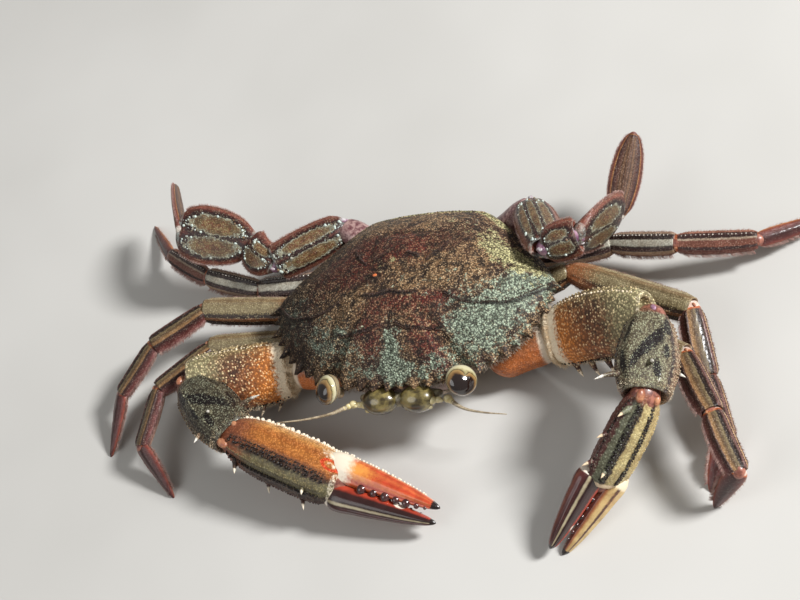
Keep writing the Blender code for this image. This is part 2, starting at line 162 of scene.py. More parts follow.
world = bpy.data.worlds.new("studio")
world.use_nodes = True
world.node_tree.nodes["Background"].inputs["Color"].default_value = SKY_COLOUR
world.node_tree.nodes["Background"].inputs["Strength"].default_value = SKY_STRENGTH
bpy.context.scene.world = world

for name, direction, size, power in (
    ("key_light", view_back * 0.8 + view_up * 0.55 + view_right * 0.55, 0.24, 24.0),
    ("fill_light", view_back * 0.7 - view_right * 0.9 - view_up * 0.1, 0.9, 3.6),
):
    lamp = bpy.data.objects.new(name, bpy.data.lights.new(name, "AREA"))
    lamp.data.shape = "DISK"
    lamp.data.size = size
    lamp.data.energy = power
    lamp.location = direction.normalized() * LAMP_DISTANCE
    lamp.rotation_euler = direction.to_track_quat("Z", "Y").to_euler()
    bpy.context.scene.collection.objects.link(lamp)


# Back shell. One domed plate of limy shell covers the body. Its front and sides are toothed, ridges
# of grains run across it, and a raised rim follows its rear edge.
SHELL_WIDTH = 75.0  # over the tips of the last side spines
SHELL_TOP = 25.9
SHELL_UNDER = 12.7
SHELL_MIDDLE = np.array((0.0, 1.0))
FRONT_Y = -22.0
BACK_Y = 25.0
LAST_SPINE = 3.2
SIDE_ARC_CENTRE = np.array((8.0, 3.0))
SIDE_ARC = np.array((SHELL_WIDTH / 2 - LAST_SPINE - 8.0, 23.9))
SIDE_TEETH = (2.4, 1.5, 2.6, 1.5, 2.7, 1.5, 2.8, 1.7, LAST_SPINE)
FRONT_TEETH_X = (1.6, 4.9, 8.3, 11.7)
FRONT_TOOTH = 1.7


def shell_edge():
    """Rows once round the shell: root x and y, tooth x and y, and height, left half then its mirror."""
    rows = [(0.0, FRONT_Y, 0.0, 0.0, 17.0)]
    last = 0.0
    for x in FRONT_TEETH_X:
        y = FRONT_Y + 0.007 * x * x
        rows.append((x, y, 0.15 * FRONT_TOOTH, -FRONT_TOOTH, 17.0))
        rows.append((x + (x - last) / 2, y + 0.1, 0.0, 0.0, 17.0))
        last = x - 0.1
    rows += [(x, y, 0.0, 0.0, 16.6) for x, y in ((13.3, -19.6), (15.0, -17.9), (17.0, -17.7), (18.5, -18.2))]
    steps = len(SIDE_TEETH) - 1
    for i, length in enumerate(SIDE_TEETH):
        for half, size in ((0.0, length), (0.5, 0.0)):
            angle = math.radians(63.0 - 59.0 * (i + half) / steps)
            radial = np.array((math.cos(angle), -math.sin(angle)))
            tooth = radial - 0.35 * np.array((-radial[1], radial[0]))
            root = SIDE_ARC_CENTRE + radial * SIDE_ARC
            rows.append((*root, *(size * tooth / np.linalg.norm(tooth)), 16.4 - 1.1 * (i + half) / steps))
    rows += [(x, y, 0.0, 0.0, height) for x, y, height in (
        (32.6, 5.6, 15.1), (29.0, 10.2, 14.8), (25.0, 14.6, 14.5), (20.8, 18.8, 14.2),
        (17.0, 22.2, 14.0), (14.0, 24.0, 13.9), (9.5, 24.7, 14.0), (4.8, BACK_Y, 14.2),
    )]
    half = np.array(rows)
    back = np.array([(0.0, BACK_Y + 0.1, 0.0, 0.0, 14.2)])
    mirrored = half[:0:-1] * (-1, 1, -1, 1, 1)
    return np.concatenate([half, back, mirrored])


def smooth_rows(knots, table, at):
    """Cubic pieces through a table's rows: a row's slope is that of the curve through its neighbours."""
    slopes = np.gradient(table, knots, axis=0)
    i = np.clip(np.searchsorted(knots, at, side="right") - 1, 0, len(knots) - 2)
    width = (knots[i + 1] - knots[i])[..., None]
    f = (at - knots[i])[..., None] / width
    rise = table[i + 1] - table[i]
    curve = (1 - 2 * f) * rise - (1 - f) * width * slopes[i] + f * width * slopes[i + 1]
    return table[i] + f * rise - f * (1 - f) * curve


def along_rows(table, at):
    """The smooth curve through a table's rows, which are numbered 0, 1, 2 and so on."""
    table = np.array(table)
    return smooth_rows(np.arange(len(table), dtype=float), table, at)


EDGE = shell_edge()


def edge_at(turn):
    """Root, tooth and height of the shell's edge, once round for turn 0 to 1. Teeth have hollow flanks."""
    count = len(EDGE)
    knots = np.arange(-3, count + 4)
    wrapped = EDGE[knots % count]
    at = np.mod(turn, 1.0) * count
    i = np.floor(at).astype(int)
    f = (at - i)[..., None]
    here, after = EDGE[i % count], EDGE[(i + 1) % count]
    tooth = here[..., 2:4] * (1 - f) ** 1.5 + after[..., 2:4] * f ** 1.5
    toothed = (np.abs(here[..., 2:4]).sum(-1) + np.abs(after[..., 2:4]).sum(-1) > 0)[..., None]
    straight = here * (1 - f) + after * f
    rounded = smooth_rows(knots.astype(float), wrapped, at)
    rows = np.where(toothed, straight, rounded)
    return rows[..., 0:2], tooth, rows[..., 4]


def ease(value, low, high):
    """0 below low, 1 above high and a smooth step between."""
    f = np.clip((value - low) / (high - low), 0.0, 1.0)
    return f * f * (3 - 2 * f)


def bell(value, centre, width):
    """1 at the centre, falling off on both sides as exp(-f^2), where f is the distance in widths."""
    return np.exp(-((value - centre) / width) ** 2)


def mound(x, y, centre_x, centre_y, radius_x, radius_y, slant=0.0):
    """1 at the centre, falling off as a bell over the two radii, its long way turned by slant degrees."""
    c, s = math.cos(math.radians(slant)), math.sin(math.radians(slant))
    dx, dy = x - centre_x, y - centre_y
    return np.exp(-((dx * c + dy * s) / radius_x) ** 2 - ((dy * c - dx * s) / radius_y) ** 2)


# Each ridge of the shell's left half, from its inner end outwards, and its height
RIDGES = (
    (((13.2, -4.2), (17.0, -5.9), (22.0, -6.0), (27.0, -4.9), (30.5, -2.2), (34.5, 1.2)), 0.42),
    (((2.5, -11.0), (5.0, -11.9), (8.8, -12.1), (12.6, -11.8)), 0.36),
    (((0.2, -3.4), (3.4, -4.2), (6.4, -4.0)), 0.36),
    (((2.8, 6.4), (5.3, 5.2)), 0.26),
    (((7.6, 4.5), (9.4, 6.2), (11.4, 9.0)), 0.30),
)


def ridge_line(points, count=26):
    """So many places along the smooth line through a ridge's points."""
    return along_rows(points, np.linspace(0, len(points) - 1, count))


def ridge_fields(x, y):
    """How far the ridges lift the shell, and the painted shadow line along the foot of each one's
    front.
    """
    lift, line = np.zeros(x.shape), np.zeros(x.shape)
    place = np.stack([np.abs(x), y], -1)
    for points, height in RIDGES:
        path = ridge_line(points)
        start, step = path[:-1], np.diff(path, axis=0)
        nearest, behind = np.full(x.shape, 99.0), np.zeros(x.shape)
        for a, ab in zip(start, step):
            f = np.clip(((place - a) @ ab) / (ab @ ab), 0, 1)
            away = place - a - f[..., None] * ab
            distance = np.linalg.norm(away, axis=-1)
            behind = np.where(distance < nearest, away[..., 1], behind)
            nearest = np.minimum(nearest, distance)
        width = np.where(behind > 0, 1.3, 0.45)
        lift += height * bell(nearest, 0.0, width)
        line = np.maximum(line, bell(nearest, 0.24, 0.25) * (behind < 0.12))
    return lift, line


def shell_relief(x, y):
    """The swellings over stomach, heart and gills, the grooves between them, and the ridges."""
    side = np.abs(x)
    rise = (
        0.55 * mound(side, y, 6.5, -10.0, 6.5, 6.0) + 0.5 * mound(side, y, 0.0, 7.5, 5.0, 4.5)
        + 0.55 * mound(side, y, 20.0, 3.0, 9.0, 7.0) + 0.3 * mound(side, y, 14.0, 15.0, 6.0, 5.0)
        + 0.35 * mound(side, y, 22.0, -11.5, 7.0, 3.5, 40.0)
        - 0.55 * mound(side, y, 14.5, -9.0, 1.5, 5.5, 32.0) - 0.5 * mound(side, y, 8.3, -0.4, 4.5, 1.1, -35.0)
        - 0.45 * mound(side, y, 6.9, 7.0, 1.2, 4.5, 8.0) - 0.35 * mound(side, y, 0.0, -16.0, 0.9, 5.0)
        - 0.3 * mound(side, y, 0.0, 13.2, 6.0, 1.0)
    )
    return rise + ridge_fields(x, y)[0]


def shell_surface(row, turn):
    """From the top (row 0) straight out to the edge (row 1), each tooth growing over the last stretch,
    then round the edge and in under it (row 1.3). Height falls as the 2.5th power of the way out, and
    a rim rises behind a groove along the rear edge."""
    root, tooth, height = edge_at(turn)
    out = np.minimum(row, 1.0)
    under = np.clip((row - 1.0) / 0.3, 0.0, 1.0)
    reach = out - 0.13 * under
    grown = ease(out, 0.955, 1.0) ** 1.3 * (1 - ease(under, 0.0, 0.3))
    flat = SHELL_MIDDLE + (root - SHELL_MIDDLE) * reach[..., None] + tooth * grown[..., None]
    z = height + (SHELL_TOP - height) * (1 - out ** 2.5)
    z = z + shell_relief(flat[..., 0], flat[..., 1]) * (1 - ease(out, 0.90, 1.0))
    rim = 0.4 * bell(out, 0.985, 0.012) - 0.25 * bell(out, 0.955, 0.014)
    z = z + ease(flat[..., 1], 12.0, 20.0) * rim
    z = z - 0.5 * ease(out, 0.97, 1.0)
    z = z - (height - 0.5 - SHELL_UNDER) * np.sin(under * math.pi / 2) ** 0.6
    return np.stack([flat[..., 0], flat[..., 1], z], -1)


def closed_grid(surface, rows, turns):
    """A surface sampled on rows by turns, joined once round, with a point of its own closing each end:
    its points, quads and triangles, and the row and turn of each point."""
    row, turn = np.meshgrid(rows, turns, indexing="ij")
    points = surface(row, turn)
    count_rows, count = row.shape
    ends = np.stack([points[0].mean(0), points[-1].mean(0)])
    index = np.arange(count_rows * count).reshape(count_rows, count)
    after = np.roll(index, -1, axis=1)
    quads = np.stack([index[:-1], after[:-1], after[1:], index[1:]], -1).reshape(-1, 4)
    first, last = count_rows * count, count_rows * count + 1
    near = np.stack([after[0], index[0], np.full(count, first)], -1)
    far = np.stack([index[-1], after[-1], np.full(count, last)], -1)
    place = np.concatenate([
        np.stack([row, turn], -1).reshape(-1, 2), [(rows[0], 0.0), (rows[-1], 0.0)],
    ])
    return np.concatenate([points.reshape(-1, 3), ends]), quads, np.concatenate([near, far]), place


def outward(points, quads, triangles):
    """The same faces, turned over if they enclose a negative volume."""
    fans = np.concatenate([quads[:, (0, 1, 2)], quads[:, (0, 2, 3)], triangles])
    a, b, c = points[fans[:, 0]], points[fans[:, 1]], points[fans[:, 2]]
    if np.einsum("ij,ij->", a, np.cross(b, c)) < 0:
        return quads[:, ::-1], triangles[:, ::-1]
    return quads, triangles


def make_piece(name, parts, materials, nodes=(), uv_name=None):
    """One object from parts, which are (points, quads, triangles, marks, around, material number, uv).
    Marks are four fields for the material: band, dark, pale and warm. Around is the cosine and sine of
    the turn round a limb and the place along it."""
    points, quads, triangles, marks, around, numbers, uvs = [], [], [], [], [], [[], []], []
    offset = 0
    for part in parts:
        part_quads, part_triangles = outward(*part[:3])
        points.append(part[0])
        quads.append(part_quads + offset)
        triangles.append(part_triangles + offset)
        marks.append(part[3])
        around.append(part[4])
        numbers[0].append(np.full(len(part_quads), part[5]))
        numbers[1].append(np.full(len(part_triangles), part[5]))
        uvs.append(part[6] if uv_name else part[0][:, :2])
        offset += len(part[0])
    points, quads, triangles = (np.concatenate(group) for group in (points, quads, triangles))
    points[:, 2] = np.maximum(points[:, 2], 0.0)
    corners = np.concatenate([quads.ravel(), triangles.ravel()]).astype(np.int32)
    sizes = np.concatenate([np.full(len(quads), 4), np.full(len(triangles), 3)]).astype(np.int32)
    mesh = bpy.data.meshes.new(name)
    mesh.vertices.add(len(points))
    mesh.vertices.foreach_set("co", (points * MM).astype(np.float32).ravel())
    mesh.loops.add(len(corners))
    mesh.loops.foreach_set("vertex_index", corners)
    mesh.polygons.add(len(sizes))
    mesh.polygons.foreach_set("loop_start", np.concatenate([[0], np.cumsum(sizes)[:-1]]).astype(np.int32))
    mesh.polygons.foreach_set("material_index", np.concatenate([*numbers[0], *numbers[1]]).astype(np.int32))
    mesh.polygons.foreach_set("use_smooth", np.ones(len(sizes), bool))
    field = mesh.attributes.new("marks", "FLOAT_COLOR", "POINT")
    field.data.foreach_set("color", np.concatenate(marks).astype(np.float32).ravel())
    field = mesh.attributes.new("around", "FLOAT_VECTOR", "POINT")
    field.data.foreach_set("vector", np.concatenate(around).astype(np.float32).ravel())
    if uv_name:
        layer = mesh.uv_layers.new(name=uv_name)
        layer.uv.foreach_set("vector", np.concatenate(uvs)[corners].astype(np.float32).ravel())
    mesh.update(calc_edges=True)
    for made in materials:
        mesh.materials.append(made)
    piece = bpy.data.objects.new(name, mesh)
    bpy.context.scene.collection.objects.link(piece)
    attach(piece, "root")
    if nodes:
        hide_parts(*nodes)


def plus(tree, value, extra, amount):
    """A value with so much of another added."""
    return maths(tree, "ADD", value, maths(tree, "MULTIPLY", extra, amount))


def swing(tree, place, scale, detail, roughness):
    """Noise from -0.5 to 0.5."""
    return maths(tree, "SUBTRACT", noise(tree, place, scale, detail, roughness), 0.5)


def shell_grain_group():
    """A node group for limy shell: fine pits and grains as a normal, pale specks and soft blotches."""
    group = bpy.data.node_groups.new("shell_grain", "ShaderNodeTree")
    for name, kind, value in (
        ("Place", "NodeSocketVector", None), ("Size", "NodeSocketFloat", 2200.0),
        ("Depth", "NodeSocketFloat", 0.4),
    ):
        socket = group.interface.new_socket(name=name, in_out="INPUT", socket_type=kind)
        if value is not None:
            socket.default_value = value
    for name, kind in (
        ("Specks", "NodeSocketFloat"), ("Gaps", "NodeSocketFloat"), ("Blotches", "NodeSocketFloat"),
        ("Cells", "NodeSocketFloat"), ("Normal", "NodeSocketVector"),
    ):
        group.interface.new_socket(name=name, in_out="OUTPUT", socket_type=kind)
    inside = add_node(group, "NodeGroupInput")
    cells = add_node(group, "ShaderNodeTexVoronoi", {
        "Vector": inside.outputs["Place"], "Scale": inside.outputs["Size"],
    })
    dots = spread(group, cells.outputs["Distance"], 0.48, 0.15)
    gaps = spread(group, cells.outputs["Distance"], 0.38, 0.62)
    colour = add_node(group, "ShaderNodeSeparateColor", {0: cells.outputs["Color"]})
    clumps = noise(group, inside.outputs["Place"], 700.0, detail=4.0, roughness=0.7)
    kept = plus(group, colour.outputs[0], clumps, 2.4)
    specks = maths(group, "MULTIPLY", dots, spread(group, kept, 1.45, 2.0))
    blotches = noise(group, inside.outputs["Place"], 420.0, detail=5.0, roughness=0.6)
    fine = noise(group, inside.outputs["Place"], 7000.0, detail=2.0)
    height = plus(group, maths(group, "MULTIPLY", dots, 0.7), fine, 0.5)
    bump = add_node(group, "ShaderNodeBump", {
        "Strength": inside.outputs["Depth"], "Distance": 0.0002, "Height": height,
    })
    add_node(group, "NodeGroupOutput", {
        "Specks": specks, "Gaps": gaps, "Blotches": blotches, "Cells": colour.outputs[1],
        "Normal": bump.outputs["Normal"],
    })
    return group


SHELL_GRAIN = shell_grain_group()


def grain(tree, size, depth):
    """The shell grain at Object coordinates, placed in one material with its own size and depth."""
    place = place_of(tree)
    made = add_node(tree, "ShaderNodeGroup", node_tree=SHELL_GRAIN)
    for key, value in (("Place", place), ("Size", size), ("Depth", depth)):
        wire(tree, made.inputs[key], value)
    return made.outputs, place


def marks_of(tree):
    """The four fields that a piece keeps on its points."""
    made = add_node(tree, "ShaderNodeAttribute", attribute_name="marks")
    split = add_node(tree, "ShaderNodeSeparateColor", {0: made.outputs["Color"]})
    return split.outputs[0], split.outputs[1], split.outputs[2], made.outputs["Alpha"]


SHELL_BROWN = (0.084, 0.034, 0.020, 1)
SHELL_OLIVE = (0.262, 0.150, 0.070, 1)
SHELL_MAROON = (0.140, 0.024, 0.016, 1)
TAN_GRAIN = (0.56, 0.37, 0.20, 1)
# Pale grain tips, partly real pale grains and partly a painted highlight
PALE_SPECK_AND_HIGHLIGHT = (0.64, 0.45, 0.26, 1)
# Painted shade for the hollows between the clumps
HOLLOW_SHADE = (0.014, 0.009, 0.008, 1)
# Painted shade for the gaps between the grains
SHELL_GAP_SHADE = (0.012, 0.007, 0.005, 1)
# Painted shade: the shadow line along a ridge's foot, and the grooves
RIDGE_FOOT_SHADE = (0.006, 0.004, 0.004, 1)  # the dark line along a ridge's foot, and the grooves
GREEN_CRUST = ((0.062, 0.082, 0.055, 1), (0.480, 0.570, 0.430, 1))
CREAM_CRUST = ((0.240, 0.220, 0.095, 1), (0.740, 0.690, 0.370, 1))
SHELL_GRAIN_SIZE = 2300.0  # grains to the metre
CLUMP_NOISE = (480.0, 6.0, 0.72)


def shell_colour(tree, texture, place):
    """Brown and olive shell with tan grains, and painted shade in the hollows between clumps of 2 mm.
    Maroon areas and crusts of grey-green and cream cobbles lie on it with ragged edges, and painted
    shade darkens it towards the crab's right side. Also gives the dark field of painted shade along the
    ridges' feet and in the grooves, the clumps, and how thickly pale grains may lie."""
    green, dark, cream, red = marks_of(tree)
    wide = noise(tree, place, 110.0, detail=5.0, roughness=0.6)
    clumps = noise(tree, place, *CLUMP_NOISE)
    ragged = swing(tree, place, 1500.0, 4.0, 0.75)
    rough = plus(tree, ragged, maths(tree, "SUBTRACT", clumps, 0.5), 2.2)
    colour = over(tree, spread(tree, wide, 0.42, 0.58), SHELL_BROWN, SHELL_OLIVE)
    colour = over(tree, spread(tree, plus(tree, red, rough, 0.5), 0.2, 0.8), colour, SHELL_MAROON)
    pale_share = spread(tree, plus(tree, wide, red, -0.12), 0.34, 0.56, 0.25, 0.7)
    tan_grains = maths(tree, "MULTIPLY", spread(tree, texture["Cells"], 0.60, 0.78), pale_share)
    colour = over(tree, tan_grains, colour, TAN_GRAIN)
    # Painted shade: the hollows between the clumps, which the back shell's bump sinks, are darkened in the
    # colour
    hollows = maths(tree, "MULTIPLY", spread(tree, clumps, 0.52, 0.42), 0.88)
    colour = over(tree, hollows, colour, HOLLOW_SHADE)
    for mark, tones in ((green, GREEN_CRUST), (cream, CREAM_CRUST)):
        crust = spread(tree, plus(tree, mark, rough, 1.05), 0.42, 0.62)
        colour = over(tree, crust, colour, over(tree, texture["Cells"], *tones))
        pale_share = maths(tree, "MULTIPLY", pale_share, spread(tree, crust, 0.0, 1.0, 1.0, 0.3))
    # Painted shade: the colour darkens towards the crab's right side
    shade = spread(tree, parts_of(tree, place)[0], -0.034, 0.008, 0.20, 1.0)
    shade = add_node(tree, "ShaderNodeCombineColor", {0: shade, 1: shade, 2: shade}).outputs[0]
    colour = over(tree, 1.0, colour, shade, "MULTIPLY")
    return colour, dark, clumps, pale_share


def back_shell_material():
    """The shell's colours with painted shade in the gaps between its grains and pale grain tips that are
    partly a painted highlight, and a rough, clumped surface.
    """
    made, tree, shader = new_material(
        "back_shell", Roughness=0.5, Specular_IOR_Level=0.22, Coat_Weight=0.08, Coat_Roughness=0.35,
    )
    texture, place = grain(tree, SHELL_GRAIN_SIZE, 0.9)
    colour, dark, clumps, pale_share = shell_colour(tree, texture, place)
    # The pale specks on the grain tips are partly a painted highlight
    specks = maths(tree, "MULTIPLY", texture["Specks"], pale_share)
    colour = over(tree, specks, colour, PALE_SPECK_AND_HIGHLIGHT)
    # Painted shade in the gaps between the grains
    colour = over(tree, maths(tree, "MULTIPLY", texture["Gaps"], 0.78), colour, SHELL_GAP_SHADE)
    # Painted shade along the ridges' feet and in the grooves
    colour = over(tree, dark, colour, RIDGE_FOOT_SHADE)
    wire(tree, shader.inputs["Base Color"], colour)
    wire(tree, shader.inputs["Roughness"], spread(tree, texture["Specks"], 0.0, 1.0, 0.6, 0.34))
    lumps = add_node(tree, "ShaderNodeBump", {
        "Strength": 0.6, "Distance": 0.0009, "Height": clumps, "Normal": texture["Normal"],
    })
    wire(tree, shader.inputs["Normal"], lumps.outputs["Normal"])
    return made


# Where the colours lie on the shell: centre, radii, slant and strength
GREEN_MARKS = (
    (24.5, -9.0, 10.0, 7.0, 35.0, 0.66), (17.0, -12.5, 6.0, 7.0, 0.0, 0.42),
    (0.6, -15.5, 2.4, 6.0, 0.0, 0.72), (3.0, -19.8, 13.0, 3.0, 0.0, 0.62),
    (30.0, 1.0, 7.5, 5.5, 25.0, 0.62), (-18.5, -12.0, 9.5, 5.5, -25.0, 0.52),
    (14.5, -1.5, 7.5, 6.0, 0.0, 0.26), (-10.0, -13.0, 6.0, 5.0, 0.0, 0.28),
    (1.0, -2.0, 9.0, 5.0, 0.0, 0.22), (-28.0, -3.0, 7.0, 6.0, 0.0, 0.5),
    (13.5, 18.0, 8.0, 4.0, -20.0, 0.34),
)
CREAM_MARKS = (
    (24.5, 7.4, 4.8, 2.8, -30.0, 0.85), (29.5, 5.0, 3.4, 2.2, -30.0, 0.6),
    (19.5, 11.8, 2.8, 4.4, 30.0, 0.5), (25.0, 1.6, 8.0, 4.0, 0.0, 0.30), (-3.6, 3.2, 1.1, 1.5, 0.0, 0.6),
    (-0.6, 4.6, 1.2, 1.0, 0.0, 0.5), (12.0, 17.0, 7.0, 3.5, -20.0, 0.24),
)
RED_MARKS = (
    (-1.0, 9.5, 11.0, 5.5, -8.0, 1.0), (-14.0, 4.0, 9.0, 7.0, 20.0, 0.9),
    (-5.0, -13.5, 4.2, 6.0, 0.0, 0.75), (9.0, -14.0, 4.6, 5.0, 0.0, 0.8),
    (-26.0, -7.0, 8.0, 6.0, 0.0, 0.75), (12.0, -19.0, 4.0, 2.6, 0.0, 0.7),
    (3.0, -6.5, 8.0, 3.0, 0.0, 0.75), (14.0, -4.6, 7.0, 2.0, 10.0, 0.6),
)


def shell_marks(points):
    """Green, dark, cream and red fields of the back shell at its points. The dark field is painted shade
    along the ridges' feet and in the grooves.
    """
    x, y = points[:, 0], points[:, 1]
    fields = [
        np.clip(sum(size * mound(x, y, *rest) for *rest, size in marks), 0, 1)
        for marks in (GREEN_MARKS, CREAM_MARKS, RED_MARKS)
    ]
    side = np.abs(x)
    # Painted shade in the grooves
    grooves = 0.55 * mound(side, y, 7.6, -0.4, 4.5, 0.9, -35.0)
    grooves = grooves + 0.4 * mound(side, y, 6.9, 7.0, 1.0, 4.0, 8.0)
    dark = np.clip(np.maximum(ridge_fields(x, y)[1], grooves * 0.7), 0, 1)
    return np.stack([fields[0], dark, fields[1], fields[2]], -1)


BACK_SHELL = back_shell_material()
turns = np.arange(740) / 740
rows = np.concatenate([np.linspace(0.006, 0.9, 92), np.linspace(0.908, 1.0, 22), np.linspace(1.02, 1.3, 10)])
points, quads, triangles, place = closed_grid(shell_surface, rows, turns)
marks = shell_marks(points)
rear_rim = ease(place[:, 0], 0.925, 0.95) * (place[:, 0] < 1.0) * ease(points[:, 1], 14.0, 20.0)
marks[:, 2] += 0.75 * rear_rim
shell_part = (points, quads, triangles, marks, np.zeros(points.shape), 0)
make_piece("back_shell", [shell_part], [BACK_SHELL], ["carapace"])


# Grains and hairs of the back shell. Small limy domes stand on the whole plate, thickest along the
# ridges, and a short pale fringe grows from under the toothed edge.
def ball(sides, rings):
    """A unit ball: rings of points between two end points."""
    def surface(lift, turn):
        angle = turn * 2 * math.pi
        return np.stack([np.cos(lift) * np.cos(angle), np.cos(lift) * np.sin(angle), np.sin(lift)], -1)

    lifts = np.linspace(-1, 1, rings + 2)[1:-1] * math.pi / 2
    points, quads, triangles, _ = closed_grid(surface, lifts, np.arange(sides) / sides)
    points[-2:] = (0, 0, -1), (0, 0, 1)
    return points, quads, triangles


def copies(unit, centres, radii, marks, around):
    """A unit shape at many centres, each with its own size, marks and place round its limb."""
    points, quads, triangles = unit
    count = len(centres)
    step = np.arange(count)[:, None, None] * len(points)
    placed = centres[:, None] + points[None] * np.reshape(radii, (count, 1, -1))
    return (
        placed.reshape(-1, 3), (quads + step).reshape(-1, 4), (triangles + step).reshape(-1, 3),
        np.repeat(marks, len(points), axis=0), np.repeat(around, len(points), axis=0), 0,
    )


def lump(centre, directions, radii, number=0, sides=16, rings=9):
    """An ellipsoid with its own three directions, without marks."""
    points, quads, triangles = ball(sides, rings)
    points = centre + (points * radii) @ np.array(directions)
    return points, quads, triangles, np.zeros((len(points), 4)), np.zeros((len(points), 3)), number


def thinned(points, spacing, order):
    """Which of the points stay when no two may be nearer than the spacing, taken in the given order."""
    kept, cells = [], {}
    keys = np.floor(points / spacing).astype(int)
    for i in order:
        a, b, c = keys[i]
        near = [
            k for da in (-1, 0, 1) for db in (-1, 0, 1) for dc in (-1, 0, 1)
            for k in cells.get((a + da, b + db, c + dc), ())
        ]
        if all(((points[i] - points[k]) ** 2).sum() > spacing * spacing for k in near):
            cells.setdefault((a, b, c), []).append(i)
            kept.append(i)
    return np.array(kept)


def hairs(roots, ways, lengths, width, bend, sheet, seed):
    """Solid hairs: three-sided blades that taper to a point and sag by the bend. Sheet is each root's
    place on an unwrap of the skin, where the whole hair lies in a patch 0.003 across."""
    rng = np.random.default_rng(seed)
    count = len(roots)
    ways = ways / np.linalg.norm(ways, axis=1)[:, None]
    side = np.cross(ways, rng.normal(size=(count, 3)))
    side /= np.linalg.norm(side, axis=1)[:, None]
    other = np.cross(ways, side)
    levels = np.array(((0.0, 1.0), (0.4, 0.8), (0.75, 0.5)))
    turn = np.arange(3) / 3 * 2 * math.pi
    ring = side[:, None, None] * np.cos(turn)[:, None] + other[:, None, None] * np.sin(turn)[:, None]
    spine = roots[:, None] + ways[:, None] * lengths[:, None, None] * levels[:, :1]
    sag = np.array((0, 0, -1.0)) * bend * lengths[:, None, None] * levels[:, :1] ** 2
    bodies = (spine + sag)[:, :, None] + ring * (levels[:, 1] * width / 2)[:, None, None]
    tips = roots + ways * lengths[:, None] + np.array((0, 0, -1.0)) * bend * lengths[:, None]
    points = np.concatenate([bodies.reshape(count, 9, 3), tips[:, None]], axis=1)
    index = np.arange(9).reshape(3, 3)
    after = np.roll(index, -1, axis=1)
    quads = np.stack([index[:-1], after[:-1], after[1:], index[1:]], -1).reshape(-1, 4)
    triangles = np.concatenate([np.stack([index[-1], after[-1], np.full(3, 9)], -1), [(2, 1, 0)]])
    step = np.arange(count)[:, None, None] * 10
    patch = np.stack([np.tile((0.0, 0.0015, 0.003), 3), np.repeat((0.0, 0.001, 0.002), 3)], -1)
    patch = np.concatenate([patch, [(0.0015, 0.003)]])
    marks = np.tile(np.concatenate([np.repeat((0.0, 0.4, 0.75), 3), [1.0]])[:, None], (count, 4))
    return (
        points.reshape(-1, 3), (quads + step).reshape(-1, 4), (triangles + step).reshape(-1, 3),
        marks, np.zeros((count * 10, 3)), 0, (sheet[:, None] + patch[None]).reshape(-1, 2),
    )


def plain_material(name, low, high, scale=300.0, roughness=0.5, coat=0.0, bump=0.0):
    """A colour that drifts between two, with a fine uneven surface."""
    made, tree, shader = new_material(name, Roughness=roughness, Coat_Weight=coat, Coat_Roughness=0.12)
    place = place_of(tree)
    tone = spread(tree, noise(tree, place, scale, detail=4.0, roughness=0.65), 0.35, 0.65)
    wire(tree, shader.inputs["Base Color"], over(tree, tone, (*low, 1), (*high, 1)))
    if bump:
        fine = noise(tree, place, scale * 8, detail=2.0)
        normal = add_node(tree, "ShaderNodeBump", {"Strength": bump, "Distance": 0.0002, "Height": fine})
        wire(tree, shader.inputs["Normal"], normal.outputs["Normal"])
    return made


DARK_GRAIN = (0.030, 0.018, 0.014, 1)
SAND_GRAIN = (0.64, 0.48, 0.30, 1)
# Ridge grains darkened as painted shade
RIDGE_GRAIN_SHADE = (0.030, 0.016, 0.012, 1)


def shell_grain_material():
    """Domes in the shell's own colours. Each has its own tone, kept in the around field: most are like
    the shell, some darker, and some as pale as sand."""
    made, tree, shader = new_material(
        "shell_grains", Roughness=0.35, Specular_IOR_Level=0.3, Coat_Weight=0.12, Coat_Roughness=0.2,
    )
    texture, place = grain(tree, SHELL_GRAIN_SIZE, 0.3)
    colour, dark, clumps, pale_share = shell_colour(tree, texture, place)
    field = add_node(tree, "ShaderNodeAttribute", attribute_name="around").outputs["Vector"]
    tone = parts_of(tree, field)[0]
    colour = over(tree, spread(tree, tone, 0.0, 0.5, 0.7, 0.0), colour, DARK_GRAIN)
    pale = maths(tree, "MULTIPLY", spread(tree, tone, 0.55, 1.0), pale_share)
    colour = over(tree, pale, colour, SAND_GRAIN)
    # Painted shade on the ridge grains and along the ridges' feet
    colour = over(tree, dark, colour, RIDGE_GRAIN_SHADE)
    wire(tree, shader.inputs["Base Color"], colour)
    return made


def tones_field(tones):
    """One tone for each grain, laid in the around field."""
    return tones[:, None] * (1, 0, 0)


BEAD = ball(6, 3)
GRAIN = ball(5, 2)
GRAIN_SPACING = 0.42
GRAIN_CLUMP = 1.7
ORANGE_DOT = (-4.6, 1.2, 25.5)
HAIR_PALE = plain_material("pale_hair", (0.36, 0.28, 0.21), (0.55, 0.46, 0.36), scale=900.0, roughness=0.6)
ORANGE = plain_material("orange_dot", (0.55, 0.12, 0.03), (0.80, 0.26, 0.08), 900.0, 0.3, 0.4)
rng = np.random.default_rng(7)
skin = points[:-2].reshape(len(rows), len(turns), 3)
normals = np.cross(np.gradient(skin, axis=1), np.gradient(skin, axis=0))
normals *= np.sign(normals[..., 2:]) / np.linalg.norm(normals, axis=-1)[..., None]
top = rows < 0.985
upper, upper_normals = skin[top].reshape(-1, 3), normals[top].reshape(-1, 3)
tree_of_points = KDTree(len(upper))
for i, point in enumerate(upper):
    tree_of_points.insert(point, i)
tree_of_points.balance()

